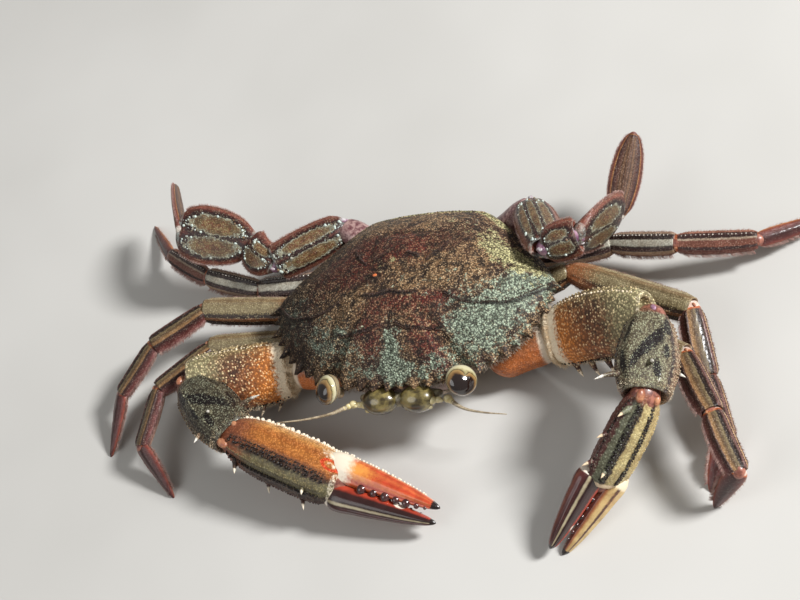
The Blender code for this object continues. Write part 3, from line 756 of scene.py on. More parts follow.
# Grains all over the plate, thickest in the clumps and on the crusts
picked = thinned(upper, GRAIN_SPACING, rng.permutation(len(upper))[:60000])
grain_marks = shell_marks(upper[picked])
clumps = np.array([fractal(Vector(point) / GRAIN_CLUMP, 0.7, 2.0, 4) for point in upper[picked]])
crusted = np.clip(grain_marks[:, 0] + grain_marks[:, 2], 0, 1)
kept = clumps + 0.5 * crusted + rng.normal(0, 0.35, len(picked)) > 0.0
radii = 0.08 + 0.15 * rng.uniform(0, 1, len(picked)) ** 2 + 0.13 * np.clip(clumps, 0, 1) + 0.06 * crusted
centres = upper[picked] - upper_normals[picked] * (0.35 * radii)[:, None]
tones = tones_field(np.clip(rng.beta(1.2, 1.6, len(picked)) + 0.15 * crusted, 0, 1))
parts = [copies(GRAIN, centres[kept], radii[kept], grain_marks[kept], tones[kept])]

# A row of grains along each ridge, on both sides, darkened as painted shade
for line_points, _ in RIDGES:
    for side in (1, -1):
        line = ridge_line(line_points, 12 * len(line_points)) * (side, 1)
        line = line + rng.normal(0, 0.05, line.shape) + (0, 0.15)
        found = [tree_of_points.find((x, y, 21.0))[1] for x, y in line]
        nearby = [tree_of_points.find((x, y, upper[i][2]))[1] for (x, y), i in zip(line, found)]
        centres = upper[nearby] + (0, 0, 0.03)
        line_marks = shell_marks(centres) * (0.6, 0.0, 0.6, 1) + (0, 0.8, 0, 0.2)
        tones = tones_field(rng.uniform(0.1, 0.75, len(centres)))
        parts.append(copies(GRAIN, centres, rng.uniform(0.16, 0.27, len(centres)), line_marks, tones))

# One orange dot of crust on the middle of the shell
dot = np.array(tree_of_points.find(ORANGE_DOT)[0])
parts.append(lump(dot, np.eye(3), (0.62, 0.40, 0.25), number=1, sides=10, rings=5))
make_piece("shell_grains", parts, [shell_grain_material(), ORANGE])

# The fringe under the edge. Turn runs from the front along each side
FRINGE_HAIRS = 1500
turn = rng.uniform(0.04, 0.36, FRINGE_HAIRS)
turn = np.where(np.arange(len(turn)) % 2, turn, 1 - turn)
root, _, height = edge_at(turn)
lift = rng.uniform(0.1, 1.0, len(turn))
roots = np.concatenate([
    SHELL_MIDDLE + (root - SHELL_MIDDLE) * (0.985 - 0.04 * (1 - lift))[:, None],
    (SHELL_UNDER + (height - 0.8 - SHELL_UNDER) * lift)[:, None],
], axis=1)
away = np.concatenate([root - SHELL_MIDDLE, np.zeros((len(root), 1))], axis=1)
away /= np.linalg.norm(away, axis=1)[:, None]
ways = away + rng.normal(0, 0.35, away.shape) - np.array((0, 0, 0.35))
sheet = np.stack([0.02 + 0.95 * turn, 0.1 + 0.8 * lift], -1)
fringe = hairs(roots, ways, rng.uniform(0.9, 2.0, len(turn)), 0.11, 0.25, sheet, 11)
make_piece("shell_fringe", [fringe], [HAIR_PALE], uv_name="OFBake")


# Trunk. The breastplate and the side walls under the shell, of smooth pale limy plates with grooves
# that run out between the legs.
TRUNK_ROWS = np.array((
    (0.0, 3.0, -2.0, 8.0), (0.05, 10.0, -7.5, 14.5), (0.45, 12.2, -10.2, 16.6), (1.4, 13.7, -11.7, 18.2),
    (5.0, 19.0, -17.5, 20.5), (9.0, 21.5, -20.6, 21.0), (12.2, 22.0, -21.2, 21.5),
    (13.2, 21.6, -20.9, 21.0), (13.4, 15.0, -15.0, 15.0),
))
HIP_GROOVES = (-0.105, -0.05, 0.008, 0.06, 0.115)  # turns from the crab's side
BELLY_BROWN = (0.17, 0.080, 0.055, 1)


def box_round(turn, power):
    """Sides of a superellipse of the given power at each turn."""
    c, s = np.cos(turn * 2 * math.pi), np.sin(turn * 2 * math.pi)
    return np.sign(c) * np.abs(c) ** (2 / power), np.sign(s) * np.abs(s) ** (2 / power)


def trunk_surface(row, turn):
    """Superelliptic rings at heights from a table, with grooves between the hips and a flat belly."""
    z, half_x, front, back = np.moveaxis(along_rows(TRUNK_ROWS, row), -1, 0)
    x, y = box_round(turn, 2.6)
    from_side = np.abs(np.mod(turn + 0.25, 0.5) - 0.25) * np.sign(np.sin(turn * 2 * math.pi) + 1e-9)
    grooves = sum(bell(from_side, at, 0.006) for at in HIP_GROOVES)
    depth = 0.035 * grooves * ease(row, 0.6, 2.0) * (1 - ease(row, 6.0, 7.0))
    middle = (front + back) / 2
    return np.stack([
        x * half_x * (1 - depth), middle + y * (back - front) / 2 * (1 - depth), np.maximum(z, 0.0),
    ], -1)


def plain_part(surface, rows, turns):
    """A closed surface without marks."""
    points, quads, triangles, _ = closed_grid(surface, rows, np.arange(turns) / turns)
    return points, quads, triangles, np.zeros((len(points), 4)), np.zeros((len(points), 3)), 0


def belly_material():
    """Limy plate, pale up to 3 mm above the floor and brown from 10 mm up."""
    made = plain_material("belly_shell", (0.40, 0.29, 0.20), (0.56, 0.46, 0.34), 160.0, 0.45, 0.15, 0.25)
    tree = made.node_tree
    colour = tree.nodes["Principled BSDF"].inputs["Base Color"]
    height = parts_of(tree, place_of(tree))[2]
    pale = colour.links[0].from_socket
    wire(tree, colour, over(tree, spread(tree, height, 0.003, 0.010), pale, BELLY_BROWN))
    return made


BELLY = belly_material()
parts = [plain_part(trunk_surface, np.linspace(0, 8, 70), 220)]
make_piece("trunk_plates", parts, [BELLY], ["thorax"])


# Tail flap. The narrow tail is folded under the belly, in six plates with a groove between each two.
TAIL_ROWS = np.array((
    (24.4, 12.4, 6.0), (24.2, 11.6, 6.5), (23.6, 6.6, 6.2), (20.4, 2.4, 5.8), (15.5, 0.75, 5.0),
    (8.0, 0.75, 3.4), (1.0, 0.75, 2.2), (-3.5, 0.75, 1.2), (-4.1, 0.75, 0.5),
))


def tail_surface(row, turn):
    """A flat strip that turns the back corner of the belly, rounded at its edges and pinched at grooves."""
    last = len(TAIL_ROWS) - 1.0
    at = np.clip(row, 0, last)
    y, z, wide = np.moveaxis(along_rows(TAIL_ROWS, at), -1, 0)
    before = along_rows(TAIL_ROWS, np.clip(at - 0.1, 0, None))
    after = along_rows(TAIL_ROWS, np.clip(at + 0.1, None, last))
    dy, dz = after[..., 0] - before[..., 0], after[..., 1] - before[..., 1]
    size = np.hypot(dy, dz)
    x, out = box_round(turn, 3.0)
    groove = np.exp(-(np.mod(row + 0.5, 1.0) - 0.5) ** 2 / 0.004)
    thick = 0.74 * (1 - 0.35 * groove) * ease(row, -0.3, 0.3) * (1 - ease(row, 7.7, 8.3))
    wide = wide * (1 - 0.05 * groove)
    lift = out * thick
    return np.stack([x * wide, y - lift * dz / size, np.maximum(z + lift * dy / size, 0.0)], -1)


parts = [plain_part(tail_surface, np.linspace(0, 8, 140), 72)]
make_piece("tail_flap", parts, [BELLY], ["abdomen"])


# Mouth and face. Two flat hinged jaw feet close the mouth, fringed along their meeting edges. Above
# them lie the two round sockets of the small feelers, with a glassy golden skin.
def axes(start, end, facing):
    """Unit vectors along a segment, across its breadth and out of its broad face."""
    along = (end - start) / np.linalg.norm(end - start)
    out = facing - along * (facing @ along)
    out /= np.linalg.norm(out)
    return along, np.cross(along, out), out


class Segment:
    """A limb segment: superelliptic sections from joint to joint. Row is the distance in millimetres
    along a profile of (place, breadth, thickness). Turn 0 is the fore edge, 0.25 the upper broad face
    and 0.5 the rear edge. A keel (turn, height, width) swells the section in a bell over the turn, and
    the bow carries the middle of the segment towards the fore edge."""

    def __init__(self, start, end, facing, side, size, profile, keels=(), power=2.3, bow=0.0):
        self.start, self.end = np.array(start, float), np.array(end, float)
        self.along, across, self.out = axes(self.start, self.end, np.array(facing, float))
        self.across = across * side
        self.directions = (self.along, self.across, self.out)
        self.length = np.linalg.norm(self.end - self.start)
        self.size, self.profile = np.array(size), np.array(profile, float)
        self.keels, self.power, self.bow = keels, power, bow
        steps = np.diff(self.profile, axis=0) * (self.length, *size)
        self.reach = np.concatenate([[0.0], np.cumsum(np.linalg.norm(steps, axis=1))])

    def row_at(self, place):
        """The row at a place from 0 to 1 along the segment."""
        last = self.profile[:, 0].argmax() + 1
        return np.interp(place, self.profile[:last, 0], self.reach[:last])

    def sections(self, row):
        """The place and the two half sizes of the section at a row, as shares of the segment's own."""
        values = smooth_rows(self.reach, self.profile, np.clip(row, 0, self.reach[-1]))
        return values[..., 0], np.maximum(values[..., 1:], 0.02)

    def normal(self, turn):
        """The way out of the skin: that of an ellipse with the segment's two half sizes."""
        way = ring_way(turn, self.across / self.size[0], self.out / self.size[1])
        return way / np.linalg.norm(way, axis=-1)[..., None]

    def surface(self, row, turn):
        """The bowed middle line, plus the section's two sides, plus the keels along the normal."""
        place, size = self.sections(row)
        x, y = box_round(turn, self.power)
        keel = sum(
            height * bell(np.mod(turn - at + 0.5, 1.0) - 0.5, 0.0, width)
            for at, height, width in self.keels
        ) * ease(place, -0.02, 0.14) * (1 - ease(place, 0.93, 1.0)) * np.ones_like(turn)
        middle = self.start + self.along * self.length * place[..., None]
        middle = middle + self.across * (self.bow * 4 * place * (1 - place))[..., None]
        flat = self.across * (x * size[..., 0] * self.size[0])[..., None]
        raised = self.out * (y * size[..., 1] * self.size[1])[..., None]
        return middle + flat + raised + self.normal(turn) * keel[..., None]

    def at(self, place, turn):
        """Points of the skin at places along the segment."""
        place, turn = np.broadcast_arrays(np.asarray(place, float), np.asarray(turn, float))
        return self.surface(self.row_at(place), turn)


def ring_way(turn, across, out):
    """The way from a limb's middle line at each turn, between its two directions."""
    angle = np.asarray(turn)[..., None] * 2 * math.pi
    return across * np.cos(angle) + out * np.sin(angle)


def around(turn, place):
    """The field that a limb's stripes read: cosine and sine of the turn, and the place."""
    angle = np.asarray(turn) * 2 * math.pi
    return np.stack(np.broadcast_arrays(np.cos(angle), np.sin(angle), place), -1)


def skin_part(segment, step, turns, paint=None, grains=0.0, spacing=0.8, number=0, floor_cut=False):
    """A segment's own surface, sampled every step millimetres, with marks from paint(place, turn) and
    grains of the given height and spacing. A floor cut flattens what would go below the floor."""
    rows = np.linspace(0, segment.reach[-1], int(segment.reach[-1] / step) + 2)
    points, quads, triangles, place = closed_grid(segment.surface, rows, np.arange(turns) / turns)
    along, _ = segment.sections(place[:, 0])
    turn = place[:, 1]
    marks = np.zeros((len(points), 4)) if paint is None else paint(along, turn)
    if grains:
        lift = cell_domes(points, spacing) * ease(along, 0.0, 0.1) * (1 - ease(along, 0.9, 1.0))
        points = points + segment.normal(turn) * (grains * lift)[:, None]
    if floor_cut:
        points[:, 2] = np.maximum(points[:, 2], 0.0)
    return points, quads, triangles, marks, around(turn, along), number


def cell_domes(points, spacing):
    """Low domes, one in each jittered cell of a grid: 1 at a dome's middle, 0 between domes."""
    cells = np.floor(points / spacing)
    nearest = np.full(len(points), 9.0)
    for step in np.ndindex(3, 3, 3):
        cell = cells + step - 1
        mix = cell @ np.array(((127.1, 269.5, 113.5), (311.7, 183.3, 271.9), (74.7, 246.1, 124.6)))
        jitter = np.mod(np.sin(mix) * 43758.5453, 1.0)
        nearest = np.minimum(nearest, np.linalg.norm(points / spacing - cell - 0.2 - 0.6 * jitter, axis=1))
    return np.clip(1 - (nearest / 0.5) ** 2, 0, 1)


JAW_TOP = np.array((0.0, -21.3, 11.9))
JAW_DOWN = np.array((0.0, 0.51, -0.86))
JAW_OUT = np.array((0.0, -0.86, -0.51))
JAW_PROFILE = (
    (0.02, 0.05, 0.05), (0.03, 0.6, 0.6), (0.08, 0.85, 0.9), (0.3, 1.0, 1.0), (0.44, 0.98, 0.95),
    (0.47, 0.94, 0.7), (0.5, 0.98, 0.95), (0.7, 0.95, 1.0), (0.85, 0.8, 0.9), (0.97, 0.5, 0.7),
    (1.0, 0.2, 0.3), (1.01, 0.05, 0.05),
)
JAW_HAIRS = 260
JAW = plain_material("jaw_shell", (0.22, 0.15, 0.10), (0.46, 0.36, 0.26), 260.0, 0.45, 0.15, 0.3)
for side, sign in (("left", 1), ("right", -1)):
    top = JAW_TOP + JAW_DOWN * 2.0 + (sign * 4.3, 0, 0)
    keels = ((0.3, 0.2, 0.05),)
    jaw = Segment(top, top + JAW_DOWN * 9.8, JAW_OUT, sign, (3.95, 1.0), JAW_PROFILE, keels, power=3.2)
    parts = [skin_part(jaw, 0.2, 72)]
    make_piece(f"jaw_foot_{side}", parts, [JAW], [f"maxilliped_{side}"])
    place = rng.uniform(0.1, 0.95, JAW_HAIRS)
    turn = np.where(np.arange(JAW_HAIRS) % 2, 0.02, 0.49) + rng.normal(0, 0.02, JAW_HAIRS)
    ways = jaw.normal(turn) + JAW_DOWN * 0.7 + rng.normal(0, 0.2, (JAW_HAIRS, 3))
    sheet = np.stack([0.05 + 0.9 * place, 0.05 + 0.9 * np.mod(turn, 1.0)], -1)
    lengths = rng.uniform(0.7, 1.3, JAW_HAIRS)
    fringe = hairs(jaw.at(place, turn), ways, lengths, 0.09, 0.1, sheet, 12)
    make_piece(f"jaw_hairs_{side}", [fringe], [HAIR_PALE], uv_name="OFBake")

# The face bar with the sockets and the feelers' roots
FACE_CENTRE = np.array((0.0, -23.7, 12.5))
SOCKET_RADII = (4.3, 3.2, 3.1)
# Knobs where a long feeler grows: place from the middle of the face, and size
FEELER_KNOBS = (
    (8.2, -0.9, 0.5, 1.0), (9.6, -0.7, 0.2, 0.75), (7.6, -2.0, -0.4, 0.55), (10.5, -1.1, 0.4, 0.42),
)


def glassy_material(name, low, high, scale):
    """A mottled colour under a clear, smooth coat."""
    made, tree, shader = new_material(name, Roughness=0.28, Coat_Weight=1.0, Coat_Roughness=0.03)
    tone = spread(tree, noise(tree, place_of(tree), scale, detail=5.0, roughness=0.6), 0.38, 0.62)
    wire(tree, shader.inputs["Base Color"], over(tree, tone, (*low, 1), (*high, 1)))
    return made


def face_surface(row, turn):
    """A thick bar across the face: round sections whose radius follows a table and that bow forward."""
    x = (row - 1) * 10.2
    radius = np.interp(np.abs(x), (0.0, 1.2, 5.0, 8.4, 9.8, 10.2), (1.6, 1.7, 1.9, 1.3, 0.8, 0.2))
    angle = turn * 2 * math.pi
    y = FACE_CENTRE[1] + 0.4 + 0.01 * x * x + radius * np.cos(angle)
    return np.stack([x, y, FACE_CENTRE[2] - 0.4 + radius * np.sin(angle)], -1)


parts = [plain_part(face_surface, np.linspace(0, 2, 90), 40)]
for sign in (1, -1):
    centre = FACE_CENTRE + (sign * 4.6, -0.1, 0.3)
    parts.append(lump(centre, np.eye(3), SOCKET_RADII, number=1, sides=48, rings=28))
    for dx, dy, dz, size in FEELER_KNOBS:
        centre = FACE_CENTRE + (sign * dx, dy, dz)
        parts.append(lump(centre, np.eye(3), (size * 1.3, size, size * 0.9), number=2))
FACE = plain_material("face_shell", (0.10, 0.075, 0.045), (0.36, 0.32, 0.20), 500.0, 0.45, 0.2, 0.3)
SOCKET = glassy_material("socket_skin", (0.030, 0.020, 0.006), (0.230, 0.180, 0.060), 300.0)
FEELER_ROOT = plain_material("feeler_root", (0.55, 0.45, 0.20), (0.74, 0.66, 0.40), 700.0, 0.3, 0.4)
make_piece("face", parts, [FACE, SOCKET, FEELER_ROOT], ["face_plate"])


# Eyes. A short limy stalk carries a large glassy cornea, dark brown inside a ring of olive and cream.
EYE_START = np.array((14.0, -21.6, 13.6))
EYE_END = np.array((17.4, -22.3, 17.7))
EYE_PROFILE = (
    (0.0, 0.05, 0.05), (0.01, 0.33, 0.33), (0.2, 0.42, 0.42), (0.34, 0.62, 0.62), (0.42, 0.82, 0.82),
    (0.58, 0.965, 0.965), (0.76, 1.0, 1.0), (0.95, 0.86, 0.86), (1.08, 0.60, 0.60), (1.16, 0.3, 0.3),
    (1.18, 0.03, 0.03),
)


def ramp(tree, value, stops):
    """A colour for each value from 0 to 1, straight between the stops."""
    made = add_node(tree, "ShaderNodeValToRGB", {0: value})
    knots = made.color_ramp.elements
    knots.remove(knots[-1])
    knots[0].position = stops[0][0]
    knots[0].color = (*stops[0][1], 1)
    for position, colour in stops[1:]:
        knots.new(position).color = (*colour, 1)
    return made.outputs[0]


def eye_material():
    """Colour by the band field: stalk, dark line, cream, olive, golden brown and the dark inside."""
    made, tree, shader = new_material("eye", Roughness=0.12, Coat_Weight=1.0, Coat_Roughness=0.02)
    uneven = swing(tree, place_of(tree), 700.0, 5.0, 0.55)
    colour = ramp(tree, plus(tree, marks_of(tree)[0], uneven, 0.16), (
        (0.0, (0.24, 0.17, 0.11)), (0.30, (0.34, 0.26, 0.16)), (0.50, (0.26, 0.20, 0.11)),
        (0.545, (0.035, 0.018, 0.013)), (0.575, (0.56, 0.52, 0.36)), (0.68, (0.50, 0.46, 0.28)),
        (0.735, (0.28, 0.23, 0.10)), (0.755, (0.04, 0.025, 0.015)), (0.785, (0.30, 0.19, 0.07)),
        (0.88, (0.17, 0.09, 0.030)), (0.935, (0.016, 0.008, 0.006)), (1.0, (0.012, 0.006, 0.005)),
    ))
    wire(tree, shader.inputs["Base Color"], colour)
    return made


def mark_fields(along, band=0.0, dark=0.0, pale=0.0, warm=0.0):
    """The four mark fields side by side, for points at those places along a segment."""
    return np.stack(np.broadcast_arrays(band, dark, pale, warm, along)[:4], -1)


def eye_paint(along, turn):
    """Band: the place along the eye, further on at its front, so that the eye looks forward."""
    forward = 0.25 * np.cos((turn - 0.25) * 2 * math.pi) * ease(along, 0.3, 0.6)
    return mark_fields(along, band=np.clip(along / EYE_PROFILE[-1][0] + forward, 0, 1))


EYE = eye_material()
EYE_RADII = (3.5, 3.5)
for side, sign in (("left", 1), ("right", -1)):
    mirror = np.array((sign, 1, 1))
    eye = Segment(EYE_START * mirror, EYE_END * mirror, (0, -1, 0), sign, EYE_RADII, EYE_PROFILE, power=2.0)
    make_piece(f"eye_ball_{side}", [skin_part(eye, 0.12, 72, eye_paint)], [EYE], [f"eye_{side}"])


# Feelers. Each long feeler has a stout root of three pieces and a ringed lash that tapers to a hair.
FEELERS = {
    "left": ((11.6, -23.9, 12.0), (15.5, -26.4, 11.8), (20.5, -28.0, 12.2), (26.0, -28.4, 11.4)),
    "right": ((-11.6, -23.9, 12.2), (-16.6, -26.6, 13.2), (-22.3, -28.4, 14.6), (-28.5, -29.2, 15.4)),
}
FEELER_RADII = np.array((0.62, 0.34, 0.22, 0.10))
FEELER = plain_material("feeler", (0.20, 0.15, 0.09), (0.46, 0.38, 0.26), 900.0, 0.4, 0.2)
for side, joints in FEELERS.items():
    joints = np.array(joints)

    def lash(row, turn):
        """Rings about a smooth line, thinning along it, with 12 raised bands to each of its three spans."""
        middle = along_rows(joints, row)
        along = along_rows(joints, np.clip(row + 0.05, 0, 3)) - along_rows(joints, np.clip(row - 0.05, 0, 3))
        along /= np.linalg.norm(along, axis=-1)[..., None]
        across = np.cross(along, (0.0, 0.0, 1.0))
        across /= np.linalg.norm(across, axis=-1)[..., None]
        radius = np.interp(row, range(4), FEELER_RADII) * (1 + 0.07 * np.cos(row * 12 * 2 * math.pi))
        return middle + ring_way(turn, across, np.cross(across, along)) * radius[..., None]

    parts = [plain_part(lash, np.linspace(0, 3, 220), 12)]
    for place, size in ((0.0, 0.95), (0.2, 0.7), (0.38, 0.52)):
        centre = along_rows(joints, np.array(place))
        parts.append(lump(centre, np.eye(3), (size * 1.1, size, size), number=1))
    make_piece(f"feeler_{side}", parts, [FEELER, FEELER_ROOT], [f"antenna_{side}"])


# Walking legs. Six flat, keeled legs of five segments, striped along in maroon, cream and black, with
# hairs on both edges, most on the fore edge. Red-brown knobs show where the segments hinge.
UP_LEFT = (0.43, -0.50, 0.75)
UP_RIGHT = (-0.43, -0.40, 0.80)
# Where the limbs' joints are, from the body to the tip
LIMBS = {
    "claw_left": (
        (19.5, -11.5, 7.0), (33.0, -9.0, 9.2), (59.9, -13.6, 20.8),
        (61.0, -32.0, 21.5), (48.5, -43.5, 7.9), (37.4, -56.6, 1.6),
    ),
    "claw_right": (
        (-19.5, -11.5, 7.0), (-31.0, -10.5, 8.0), (-56.0, -16.0, 11.5),
        (-41.0, -30.3, 12.5), (-14.0, -41.4, 8.7), (10.1, -48.8, 4.9),
    ),
    "leg_2_left": (
        (20.3, -3.2, 6.4), (33.0, -3.5, 5.0), (64.9, -17.2, 11.5),
        (72.7, -32.2, 13.5), (78.5, -44.7, 11.0), (70.4, -47.0, -0.25),
    ),
    "leg_3_left": (
        (20.3, 4.0, 7.0), (35.5, 7.9, 10.0), (65.4, -6.0, 12.0),
        (68.4, -19.5, 6.5), (73.0, -33.5, 3.8), (69.3, -43.6, -0.25),
    ),
    "leg_4_left": (
        (18.6, 11.0, 6.6), (25.5, 15.0, 7.0), (43.2, 16.5, 7.0),
        (59.4, 13.4, 9.0), (76.8, 14.2, 6.0), (93.4, 24.2, -0.25),
    ),
    "leg_2_right": (
        (-20.3, -3.2, 6.4), (-31.5, -2.2, 6.0), (-56.0, -3.0, 7.6),
        (-67.0, -14.5, 9.2), (-69.5, -28.5, 7.0), (-62.0, -39.0, -0.25),
    ),
    "leg_3_right": (
        (-20.3, 4.0, 7.0), (-31.5, 5.4, 8.0), (-57.5, 5.4, 11.5),
        (-70.5, -3.0, 11.0), (-79.0, -13.5, 7.0), (-83.0, -27.0, -0.25),
    ),
    "leg_4_right": (
        (-18.6, 11.0, 6.6), (-26.0, 13.3, 6.8), (-46.0, 13.0, 7.0),
        (-61.5, 17.5, 8.0), (-76.0, 27.0, 5.5), (-88.0, 41.0, -0.25),
    ),
    "swim_leg_left": (
        (12.6, 20.0, 7.0), (25.0, 24.5, 13.3), (34.0, 7.8, 21.0),
        (41.7, 9.1, 22.0), (46.1, 20.7, 12.0), (50.8, 36.9, 20.0),
    ),
    "swim_leg_right": (
        (-12.6, 20.0, 7.4), (-23.7, 25.4, 11.5), (-39.7, 16.3, 12.8),
        (-46.7, 21.8, 14.5), (-64.7, 24.3, 19.4), (-72.3, 40.8, 16.3),
    ),
}
# Profiles of the five segments, from the hip to the toe
ISCHIUM = (
    (-0.12, 0.05, 0.05), (-0.1, 0.6, 0.6), (0.0, 0.9, 0.9), (0.5, 1.0, 1.0), (0.9, 0.92, 0.92),
    (0.98, 0.8, 0.8), (1.0, 0.66, 0.66), (0.97, 0.5, 0.5), (0.94, 0.05, 0.05),
)
MERUS = (
    (-0.04, 0.05, 0.05), (-0.035, 0.45, 0.5), (0.0, 0.68, 0.76), (0.06, 0.8, 0.86), (0.2, 0.92, 0.95),
    (0.45, 1.0, 1.0), (0.8, 0.98, 1.0), (0.94, 0.93, 0.96), (0.99, 0.9, 0.93), (1.01, 0.86, 0.88),
    (1.0, 0.76, 0.78), (0.95, 0.6, 0.62), (0.9, 0.05, 0.05),
)
CARPUS = (
    (-0.12, 0.05, 0.05), (-0.1, 0.5, 0.55), (-0.03, 0.7, 0.74), (0.1, 0.86, 0.9), (0.3, 0.96, 0.98),
    (0.6, 1.0, 1.0), (0.88, 0.95, 0.95), (0.97, 0.9, 0.9), (1.0, 0.85, 0.86), (0.98, 0.74, 0.76),
    (0.92, 0.5, 0.55), (0.88, 0.05, 0.05),
)
PROPODUS = (
    (-0.06, 0.05, 0.05), (-0.05, 0.55, 0.62), (-0.01, 0.78, 0.84), (0.08, 0.9, 0.94), (0.3, 1.0, 1.0),
    (0.75, 0.96, 0.96), (0.95, 0.88, 0.9), (0.995, 0.84, 0.86), (1.01, 0.78, 0.8), (0.99, 0.66, 0.7),
    (0.95, 0.5, 0.5), (0.92, 0.05, 0.05),
)
TOE = (
    (-0.07, 0.05, 0.05), (-0.055, 0.5, 0.6), (0.0, 0.84, 0.9), (0.15, 1.0, 1.0), (0.5, 0.84, 0.86),
    (0.8, 0.5, 0.56), (0.93, 0.25, 0.36), (0.985, 0.12, 0.2), (1.0, 0.03, 0.04),
)
CRACK = (0.012, 0.006, 0.005, 1)
HOLLOW_RED = (0.030, 0.013, 0.010, 1)
BLOTCH = (0.50, 0.42, 0.36, 1)
# Painted shade for the gaps between a limb's grains
GAP_SHADE = (0.25, 0.2, 0.18, 1)


def striped_shell(
    name, stops, waver=0.05, specks=0.3, speck_colour=(0.42, 0.34, 0.25), size=2600.0, depth=0.5,
    roughness=0.42, coat=0.2, by_band=False, tone=0.84, gaps=0.4, warm=(0.50, 0.12, 0.03),
    pale=(0.72, 0.68, 0.60), tint=None, fray=0.4, mottle=0.0,
):
    """Limb shell striped by the turn round the limb, or by the band field. Waver is how uneven the
    stripes' edges are, and mottle the strength of dark hollows. Over them come the tint (where the band
    field isn't the stripes), the warm and dark marks, pale specks, painted shade in the gaps between the
    grains, and the pale mark with an edge as ragged as fray."""
    made, tree, shader = new_material(
        name, Roughness=roughness, Specular_IOR_Level=0.3, Coat_Weight=coat, Coat_Roughness=0.18,
    )
    band_mark, dark_mark, pale_mark, warm_mark = marks_of(tree)
    texture, place = grain(tree, size, depth)
    band = band_mark
    if not by_band:
        field = add_node(tree, "ShaderNodeAttribute", attribute_name="around").outputs["Vector"]
        cosine, sine, _ = parts_of(tree, field)
        angle = maths(tree, "ARCTAN2", sine, cosine)
        band = maths(tree, "DIVIDE", angle, 2 * math.pi)
    band = plus(tree, band, swing(tree, place, 900.0, 4.0, 0.65), waver)
    toned = [(position, [tone * part for part in stop]) for position, stop in stops]
    colour = ramp(tree, band if by_band else maths(tree, "FRACT", band), toned)
    blotches = spread(tree, texture["Blotches"], 0.35, 0.65)
    colour = over(tree, maths(tree, "MULTIPLY", blotches, 0.6), colour, BLOTCH, "MULTIPLY")
    if mottle:
        hollows = spread(tree, noise(tree, place, *CLUMP_NOISE), 0.53, 0.43)
        colour = over(tree, maths(tree, "MULTIPLY", hollows, mottle), colour, HOLLOW_RED)
    ragged = swing(tree, place, 1500.0, 4.0, 0.7)
    if tint:
        colour = over(tree, spread(tree, plus(tree, band_mark, ragged, 1.2), 0.15, 0.85), colour, (*tint, 1))
    colour = over(tree, spread(tree, plus(tree, warm_mark, ragged, 0.9), 0.1, 0.95), colour, (*warm, 1))
    colour = over(tree, spread(tree, plus(tree, dark_mark, ragged, 0.9), 0.42, 0.64), colour, CRACK)
    share = spread(tree, warm_mark, 0.45, 1.0, specks, specks * 0.3)
    colour = over(tree, maths(tree, "MULTIPLY", texture["Specks"], share), colour, (*speck_colour, 1))
    # Painted shade in the gaps between the grains
    colour = over(tree, maths(tree, "MULTIPLY", texture["Gaps"], gaps), colour, GAP_SHADE, "MULTIPLY")
    colour = over(tree, spread(tree, plus(tree, pale_mark, ragged, fray), 0.4, 0.75), colour, (*pale, 1))
    wire(tree, shader.inputs["Base Color"], colour)
    wire(tree, shader.inputs["Normal"], texture["Normal"])
    return made


def bead_row(segment, turn, first, last, spacing, radius, mark, rng):
    """A row of round beads along a segment, largest at its middle, each raised by a share of its
    radius. Mark gives their dark, pale and warm fields."""
    count = max(int((last - first) * segment.length / spacing), 2)
    place = np.linspace(first, last, count) + rng.normal(0, 0.15 * spacing / segment.length, count)
    turn = turn + rng.normal(0, 0.002, count)
    from_middle = np.abs(place - (first + last) / 2) / (last - first)
    sizes = radius * rng.uniform(0.75, 1.15, count) * (1 - 0.3 * from_middle)
    centres = segment.at(place, turn) + segment.normal(turn) * (sizes * 0.25)[:, None]
    marks = np.tile((0.0, *mark), (count, 1))
    return copies(BEAD, centres, sizes, marks, around(turn, place))


def fringe_of(
    segment, index, turn, first, last, count, length, lean, rng, sag=0.1, width=0.075, wander=0.012,
):
    """Hairs along one edge of a segment, leaning to its far end. Index is its strip on the unwrap."""
    place = np.sort(rng.uniform(first, last, count))
    turns_at = turn + rng.normal(0, wander, count)
    ways = segment.normal(turns_at) + segment.along * lean + rng.normal(0, 0.12, (count, 3))
    strip = (index + 0.05 + 0.9 * np.mod(turns_at, 1.0)) / 5
    sheet = np.stack([0.02 + 0.95 * np.clip(place, 0, 1), strip], -1)
    sizes = length * rng.uniform(0.6, 1.15, count) * ease(place, first - 0.05, first + 0.12) + 0.1
    seed = int(rng.integers(1 << 30))
    return hairs(segment.at(place, turns_at), ways, sizes, width, sag, sheet, seed)


def joint_parts(joint, before, after, radius, flat=0.8):
    """The soft skin inside a joint, and two flat hinge knobs on each of its broad faces. They take the
    piece's second and third material."""
    middle = before.along + after.along
    middle /= np.linalg.norm(middle)
    out = before.out + after.out
    out -= middle * (out @ middle)
    out /= np.linalg.norm(out)
    side = np.cross(middle, out)
    directions = (middle, side, out)
    radii = np.array((1.1, 1.0, flat)) * radius
    parts = [lump(joint, directions, radii, number=1, sides=28, rings=16)]
    breadth, thickness = np.minimum(before.size, after.size)
    for face, across, size in ((1, 0.42, 0.5), (1, -0.40, 0.36), (-1, 0.42, 0.5), (-1, -0.40, 0.36)):
        centre = joint + out * face * 0.62 * thickness + side * across * breadth + middle * 0.1 * radius
        radii = np.array((0.8, 0.5, 0.36)) * size * thickness
        parts.append(lump(centre, directions, radii, number=2))
    return parts


